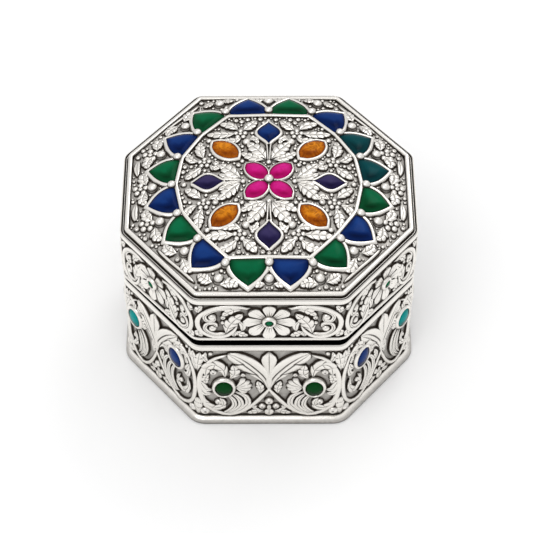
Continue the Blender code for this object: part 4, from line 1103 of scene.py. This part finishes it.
# Stones on the top: sixteen petals round the ring, four drops, four almonds and four in the centre.
# Each is enamel fired in its own bezel. A silver bead stands on the ring between each two petals.

# Outward, height and darkness of tarnish and painted shade, as for the buttons: the dark edge on the plate is
# tarnish and painted shadow, and the dark inner wall by the stone is painted shadow
STONE_BEZEL = [(0.86, -0.03, 0.9), (0.67, 0.08, 1.0), (0.65, 0.3, 0.3), (0.58, 0.65, 0.0), (0.38, 0.85, 0.0),
               (0.14, 0.88, 0.0), (0.02, 0.76, 0.1), (0.0, 0.55, 0.8), (0.0, 0.1, 1.0)]


def almond_outline(centre, towards, half_length, half_width, fullness, count=16):
    """A stone pointed at both ends, with straight sides at its points, run anticlockwise."""
    across = Vector((-towards.y, towards.x))
    right, left = [], []
    # Share of the half length at which the curved sides become straight ones
    turned = 0.8
    for k in range(1, count):
        s = -1 + 2 * k / count
        width = half_width * (1 - min(abs(s), turned) ** 2) ** fullness
        width *= min(1.0, (1 - abs(s)) / (1 - turned)) ** 1.05
        right.append(centre + towards * s * half_length - across * width)
        left.append(centre + towards * s * half_length + across * width)
    return [centre - towards * half_length, *right, centre + towards * half_length, *reversed(left)]


def drop_outline(centre, towards, inner, outer, half_width, count=12):
    """A stone that swells in the middle and draws out to a fine point at each end, run anticlockwise."""
    across = Vector((-towards.y, towards.x))
    right, left = [], []
    for k in range(-count + 1, count):
        s = math.sin(math.pi / 2 * k / count)
        width = half_width * ((1 + math.cos(math.pi * s)) / 2) ** (0.7 if s > 0 else 0.9)
        place = centre + towards * s * (outer if s > 0 else inner)
        right.append(place - across * width)
        left.append(place + across * width)
    return [centre - towards * inner, *right, centre + towards * outer, *reversed(left)]


PETAL_LENGTH, SHORT_PETAL_LENGTH = 7.2, 6.35
BEZEL_ROOM = 0.66


def petal_outline(start, end, length, foot=0.04):
    """A stone with a straight foot on the ring and a blunt point outwards, run anticlockwise."""
    along = (end - start).normalized()
    outward = Vector((along.y, -along.x))
    half = (end - start).length / 2 - BEZEL_ROOM
    middle = (start + end) / 2
    right = [(half - 0.8, foot), (half - 0.3, foot + 0.06), (half - 0.04, foot + 0.28),
             (half + 0.08, foot + 0.7)]
    for t in (0.18, 0.27, 0.36, 0.45, 0.54, 0.63, 0.72, 0.8, 0.87, 0.93, 0.97):
        width = (half + 0.14) * (1 - max(0.0, (t - 0.14) / 0.86) ** 2.1) ** 1.06
        right.append((width, foot + t * (length - foot)))
    points = right + [(0.0, length)] + [(-x, y) for x, y in reversed(right)]
    return [middle + along * x + outward * y for x, y in reversed(points)]


laid = []
# Name, outline, colour and height of the crown of each
stones = []
for i in range(16):
    colour = "teal" if i in (4, 5) else ("blue", "green")[i % 2]
    length = SHORT_PETAL_LENGTH if i in (7, 8) else PETAL_LENGTH
    outline = petal_outline(ring_outer[i], ring_outer[(i + 1) % 16], length)
    stones.append((f"petal_stone_{i + 1:02d}", outline, colour, 1.45))
for k, side in enumerate(("front", "right", "back", "left")):
    towards = heading(-90 + 90 * k)
    far, half_width = (1.4, 2.8) if k % 2 == 0 else (3.1, 2.4)
    outline = drop_outline(towards * (RING_RADIUS - 4.7 - far), towards, 4.3, 3.9, half_width)
    stones.append((f"drop_stone_{side}", outline, "blue" if side == "back" else "violet", 1.25))
    towards = heading(-45 + 90 * k)
    outline = almond_outline(towards * 15.1, towards, 4.25, 2.55, 0.7)
    stones.append((f"almond_stone_{k + 1}", outline, "amber", 1.3))
    outline = almond_outline(towards * 4.2, towards, 3.5, 2.25, 0.64)
    stones.append((f"centre_petal_{k + 1}", outline, "pink", 1.3))
for name, outline, colour, crown in stones:
    slim = 0.8 if colour == "pink" else 1.45 if name.startswith("petal") else 1.2
    sweep_bezel(laid, outline, [(out * slim, height, tone_and_shade) for out, height, tone_and_shade in STONE_BEZEL])
    enamel_name = name.replace("stone", "enamel").replace("centre_petal", "centre_enamel")
    add_cabochon(enamel_name, outline, 0.15, 0.6, crown, on_dome, ENAMELS[colour], "lid", name)
for i in range(16):
    set_grain(laid, "bead", ring_corner(i, 1.0 + 0.6 * abs(math.cos(math.pi * i / 8))), 1.12, lift=0.8)
set_grain(laid, "bead", (0.0, 0.0), 1.25, lift=0.9)
solder(laid, "stone_bezels", dome_fold, moulding_silver, "lid")


# Relief inside the ring. Leaves stand in pairs beside the four drops, with flowers and sprays between
# the stones, and grains wherever there is room. Every piece is soldered to the plate.

# Pattern, points, half width and height, on the quarter at the back right
SPRAYS = [
    ("leaf", [(0.6, 6.8), (2.2, 9.4), (5.2, 12.9)], 2.0, 0.95),
    ("leaf", [(1.0, 6.7), (3.8, 7.6), (6.8, 9.4)], 1.5, 0.8),
    ("leaf", [(6.8, 0.7), (9.2, 2.9), (12.0, 5.7)], 1.9, 0.95),
    ("frond", [(7.0, 0.6), (9.6, 1.1), (12.2, 2.6)], 1.1, 0.75),
    ("leaf", [(8.0, 16.3), (11.4, 16.2), (15.4, 16.5)], 1.55, 0.85),
    ("frond", [(6.6, 14.9), (8.4, 13.9), (11.4, 14.3)], 1.15, 0.8),
    ("frond", [(6.4, 17.4), (4.9, 18.9), (3.0, 21.2)], 1.5, 0.85),
    ("frond", [(7.6, 17.6), (9.2, 19.4), (12.2, 20.5)], 1.45, 0.8),
    ("frond", [(16.4, 5.2), (17.8, 3.6), (20.4, 1.6)], 1.4, 0.85),
    ("leaf", [(16.0, 7.9), (16.9, 10.6), (16.8, 14.0)], 1.5, 0.85),
    ("frond", [(17.2, 6.9), (19.2, 8.0), (20.2, 10.4)], 1.2, 0.8),
    ("frond", [(14.6, 5.6), (13.2, 4.6), (11.6, 5.6)], 0.95, 0.75),
    ("frond", [(5.0, 13.6), (3.6, 14.6), (2.6, 12.6)], 0.9, 0.7),
    ("stem", [(-0.85, 13.9), (-0.5, 12.2), (-0.32, 9.6), (-0.2, 6.6)], 0.22, 0.8),
    ("stem", [(0.85, 13.9), (0.5, 12.2), (0.32, 9.6), (0.2, 6.6)], 0.22, 0.8),
    ("stem", [(12.2, 0.8), (10.6, 0.45), (8.8, 0.3), (6.6, 0.2)], 0.22, 0.8),
    ("stem", [(12.2, -0.8), (10.6, -0.45), (8.8, -0.3), (6.6, -0.2)], 0.22, 0.8),
]
SPRAY_GRAINS = [("grain", (0.0, 6.3), 0.7), ("grain", (6.3, 0.0), 0.7), ("grain", (6.5, 6.7), 0.6),
                ("grain", (14.8, 14.4), 0.75), ("grain", (5.5, 13.4), 1.05), ("berry", (12.9, 6.2), 0.85),
                ("grain", (20.7, 0.0), 0.7), ("berry", (0.0, 21.4), 0.6), ("grain", (3.9, 15.2), 0.6)]
# Place and reach
BLOSSOMS = [((7.0, 16.3), 1.8), ((15.8, 6.7), 1.75)]


def add_blossom(laid, place, reach, petals=5, turn=0.3):
    """A small flower of grains round a raised berry."""
    for k in range(petals):
        a = turn + 2 * math.pi * k / petals
        middle = (place[0] + 0.66 * reach * math.cos(a), place[1] + 0.66 * reach * math.sin(a))
        set_grain(laid, "grain", middle, reach * 0.37, lift=0.2)
    set_grain(laid, "berry", place, reach * 0.3, lift=0.45)


def spots_of(laid):
    """Where the flat is already covered: all points of what was laid."""
    return np.vstack([points_of(copy.data)[:, :2] for copy in laid])


def strew(laid, inside, taken, seed, spacing=0.66,
          sizes=((0.66, "berry"), (0.5, "grain"), (0.38, "grain"), (0.28, "grain"))):
    """Sets grains wherever they still fit, the largest first. inside says if a point is on the plate."""
    luck = random.Random(seed)
    span = [k * spacing for k in range(-64, 65)]
    for radius, kind in sizes:
        for x in span:
            for y in span:
                place = (x + luck.uniform(-0.2, 0.2), y + luck.uniform(-0.2, 0.2))
                if not inside(place, radius):
                    continue
                near = np.hypot(taken[:, 0] - place[0], taken[:, 1] - place[1]).min()
                if near > radius * 1.12 + 0.06:
                    set_grain(laid, kind, place, radius)
                    ring = [(place[0] + radius * math.cos(a), place[1] + radius * math.sin(a))
                            for a in (0, 0.8, 1.6, 2.4, 3.1, 3.9, 4.7, 5.5)]
                    taken = np.vstack([taken, ring])


def inside_of(outline, place):
    """How far a point is inside an outline run anticlockwise. It is negative outside."""
    best = 1e9
    for a, b in zip(outline, outline[1:] + outline[:1]):
        side = (b - a).normalized()
        best = min(best, side.x * (place[1] - a.y) - side.y * (place[0] - a.x))
    return best


def keep_inside(outline, place, gap):
    """Moves a place inwards until it is that far inside an outline run anticlockwise."""
    x, y = place
    for a, b in zip(outline, outline[1:] + outline[:1]):
        side = (b - a).normalized()
        short = gap - (side.x * (y - a.y) - side.y * (x - a.x))
        if short > 0:
            x, y = x - side.y * short, y + side.x * short
    return x, y


def stone_spots(chosen, bezel):
    """Points over the stones and their bezels, which stay free of ornament."""
    spots = []
    for _, outline, _, _ in chosen:
        centre = sum(outline, Vector((0, 0))) / len(outline)
        for a, b in zip(outline, outline[1:] + outline[:1]):
            for part in (0.0, 0.5):
                point = a.lerp(b, part)
                away = (point - centre).normalized()
                spots += [point + away * bezel, point, *(centre.lerp(point, s) for s in (0.8, 0.55, 0.3))]
    return np.array(spots)


laid = []
for sx in (1, -1):
    for sy in (1, -1):
        for kind, points, half_width, height in SPRAYS:
            on_axis = kind == "stem" and (sx < 0 if abs(points[0][0]) < 1 else sy < 0)
            if not on_axis:
                lay(laid, kind, [(sx * x, sy * y) for x, y in points], half_width, height)
        for kind, (x, y), radius in SPRAY_GRAINS:
            if (x or sx > 0) and (y or sy > 0):
                set_grain(laid, kind, (sx * x, sy * y), radius)
        for (x, y), reach in BLOSSOMS:
            add_blossom(laid, (sx * x, sy * y), reach)
inner_stones = [s for s in stones if not s[0].startswith("petal")]
taken = np.vstack([spots_of(laid), stone_spots(inner_stones, bezel=0.65)])
strew(laid, lambda p, r: inside_of(ring_inner, p) > r, taken, seed=4)
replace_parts(solder(laid, "medallion_relief", dome_fold, plate_silver, "lid"), "medallion_plate")


# Relief between the petals and the frame. A large bead stands between each two petals, with leaves
# that curl along the frame, flowers in the wider places, and small grains in the rest.

laid = []
for i in range(16):
    out = heading(-90 + 22.5 * i)
    bead = ring_corner(i, RING_HALF_WIDTH + 1.02 + 4.3)
    set_grain(laid, "bead", bead, 1.2, lift=0.4)
    room = inside_of(frame_inner, bead)
    for side in (1, -1):
        along = Vector((-out.y, out.x)) * side
        tip = ring_outer[i].lerp(ring_outer[(i + side) % 16], 0.5)
        tip = tip + tip.normalized() * 7.6
        first = bead + out * min(1.5, room - 0.9) + along * 0.9
        middle = first.lerp(tip, 0.5) + out * min(0.9, max(room - 2.2, 0) * 0.4)
        if room > 2.5:
            points = ((first, 1.0), (middle, 1.6), (middle.lerp(tip, 0.72), 0.8))
            lay(laid, "leaf", [keep_inside(frame_inner, point, gap) for point, gap in points], 1.5, 0.9)
        else:
            points = (first, first.lerp(tip, 0.6))
            lay(laid, "frond", [keep_inside(frame_inner, point, 1.1) for point in points], 1.0, 0.75)
# Pattern, points, half width and height, in the back right corner
WIDE_PLACES = [
    ("blade", [(32.2, 9.6), (32.7, 7.2), (32.2, 4.6)], 0.75, 0.8),
    ("stem", [(26.6, 18.6), (24.2, 21.8), (20.6, 25.2), (17.6, 28.4)], 0.35, 0.6),
]
for sx in (1, -1):
    for sy in (1, -1):
        for kind, points, half_width, height in WIDE_PLACES:
            points = [keep_inside(frame_inner, (sx * x, sy * y), half_width + 0.3) for x, y in points]
            lay(laid, kind, points, half_width, height)
        add_blossom(laid, (sx * 29.3, sy * 11.2), 2.1)
    add_blossom(laid, (sx * 31.3, 0.0), 2.0)
outer_stones = [s for s in stones if s[0].startswith("petal")]
taken = np.vstack([spots_of(laid), stone_spots(outer_stones, bezel=1.15)])
strew(laid, lambda p, r: inside_of(frame_inner, p) > r and inside_of(ring_outer, p) < -r, taken, seed=9)
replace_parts(solder(laid, "border_relief", dome_fold, plate_silver, "lid"), "border_plate")


# Hinge at the back. Two silver leaves are riveted to the walls, and their five rolled knuckles turn
# on a pin of drawn steel wire, with its ends filed flat.

steel = make_silver("pin steel", polish=0.3, marks=0.1, tone_and_shade=0.2)
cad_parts["hinge_pin"].data.materials.clear()
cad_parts["hinge_pin"].data.materials.append(steel)
hinge_silver = make_silver("hinge silver", polish=0.3, marks=0.24, tone_and_shade=0.18)
LEAF_FACE, HINGE_HEIGHT = HALF_DEPTH + 0.68, BASE_HEIGHT + 0.125


def leaf_fold(flat):
    """Carries a flat onto the back of the hinge's leaves."""
    return np.column_stack([-flat[:, 0], LEAF_FACE + flat[:, 2], HINGE_HEIGHT + flat[:, 1]])


for node, body, upward in (("hinge_leaf_base", "base", -1), ("hinge_leaf_lid", "lid", 1)):
    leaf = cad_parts[node].copy()
    leaf.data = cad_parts[node].data.copy()
    leaf.name = leaf.data.name = node.replace("hinge_leaf", "hinge_plate")
    bpy.context.scene.collection.objects.link(leaf)
    leaf.data.materials.clear()
    leaf.data.materials.append(hinge_silver)
    close_up(leaf)
    bpy.ops.object.mode_set(mode="EDIT")
    bpy.ops.mesh.select_all(action="SELECT")
    bpy.ops.mesh.dissolve_limited(angle_limit=math.radians(2))
    bpy.ops.object.mode_set(mode="OBJECT")
    worn = leaf.modifiers.new("worn edges", "BEVEL")
    worn.width = 0.14 * MM
    worn.segments = 2
    worn.limit_method = "ANGLE"
    worn.angle_limit = math.radians(50)
    bpy.ops.object.modifier_apply(modifier=worn.name)
    bpy.ops.object.shade_smooth_by_angle(angle=math.radians(45))
    flat = leaf.modifiers.new("flat faces", "WEIGHTED_NORMAL")
    flat.weight = 100
    flat.keep_sharp = True
    bpy.ops.object.modifier_apply(modifier=flat.name)
    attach(leaf, body)
    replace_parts(leaf, node)
    laid = []
    for u in (-11.2, -3.8, 3.8, 11.2):
        set_grain(laid, "grain", (u, upward * 3.1), 0.62, 0.4, lift=0.05)
    solder(laid, node.replace("hinge_leaf", "hinge_rivets"), leaf_fold, hinge_silver, body)


# All is laid, so the patterns themselves go
for pattern in PATTERNS.values():
    bpy.data.objects.remove(pattern)


# Table, light and camera. The box stands on white card under soft light from all sides, and is seen
# from the front and well above, through a long lens.

card = bpy.data.materials.new("white card")
card.use_nodes = True
card.node_tree.nodes["Principled BSDF"].inputs["Base Color"].default_value = (0.97, 0.97, 0.97, 1)
card.node_tree.nodes["Principled BSDF"].inputs["Roughness"].default_value = 0.9
bpy.ops.mesh.primitive_plane_add(size=6)
table = bpy.context.object
table.name = "table"
table.data.materials.append(card)

world = bpy.data.worlds.new("studio")
bpy.context.scene.world = world
world.use_nodes = True
air = world.node_tree
ways = add_node(air, "TexCoord").outputs["Generated"]
parts = add_node(air, "SeparateXYZ", {"Vector": ways})
ramp = add_node(air, "ValToRGB", {"Fac": parts.outputs["Z"]})
low, high = ramp.color_ramp.elements
low.color = (0.62, 0.62, 0.63, 1)
high.color = (1.0, 1.0, 1.0, 1)
high.position = 0.9
air.links.new(ramp.outputs["Color"], air.nodes["Background"].inputs["Color"])
air.nodes["Background"].inputs["Strength"].default_value = 1.0


def aim(name, data, target, azimuth, elevation, distance):
    """Sets up a lamp or a camera that looks at the target. Azimuth 0 is in front of the box, in degrees."""
    turn, height = math.radians(azimuth), math.radians(elevation)
    back = Vector((math.sin(turn) * math.cos(height), -math.cos(turn) * math.cos(height), math.sin(height)))
    holder = bpy.data.objects.new(name, data)
    bpy.context.scene.collection.objects.link(holder)
    holder.location = Vector(target) + back * distance
    holder.rotation_mode = "QUATERNION"
    holder.rotation_quaternion = (-back).to_track_quat("-Z", "Y")
    return holder


# Azimuth, elevation, size in metres and power
for name, azimuth, elevation, size, power in (("key", -35, 58, 0.5, 1.6), ("back", 150, 50, 0.4, 0.8)):
    lamp = bpy.data.lights.new(name, "AREA")
    lamp.shape = "DISK"
    lamp.size = size
    lamp.energy = power
    aim(name, lamp, (0.0, 0.0, 0.0), azimuth, elevation, distance=0.9)

lens = bpy.data.cameras.new("camera")
lens.lens = 131.26
lens.sensor_width = 36.0
camera = aim("camera", lens, (-0.00058, 0.0, 0.02095), -0.124, 51.15, distance=0.4972)
bpy.context.scene.camera = camera
bpy.context.scene.view_settings.view_transform = "Standard"
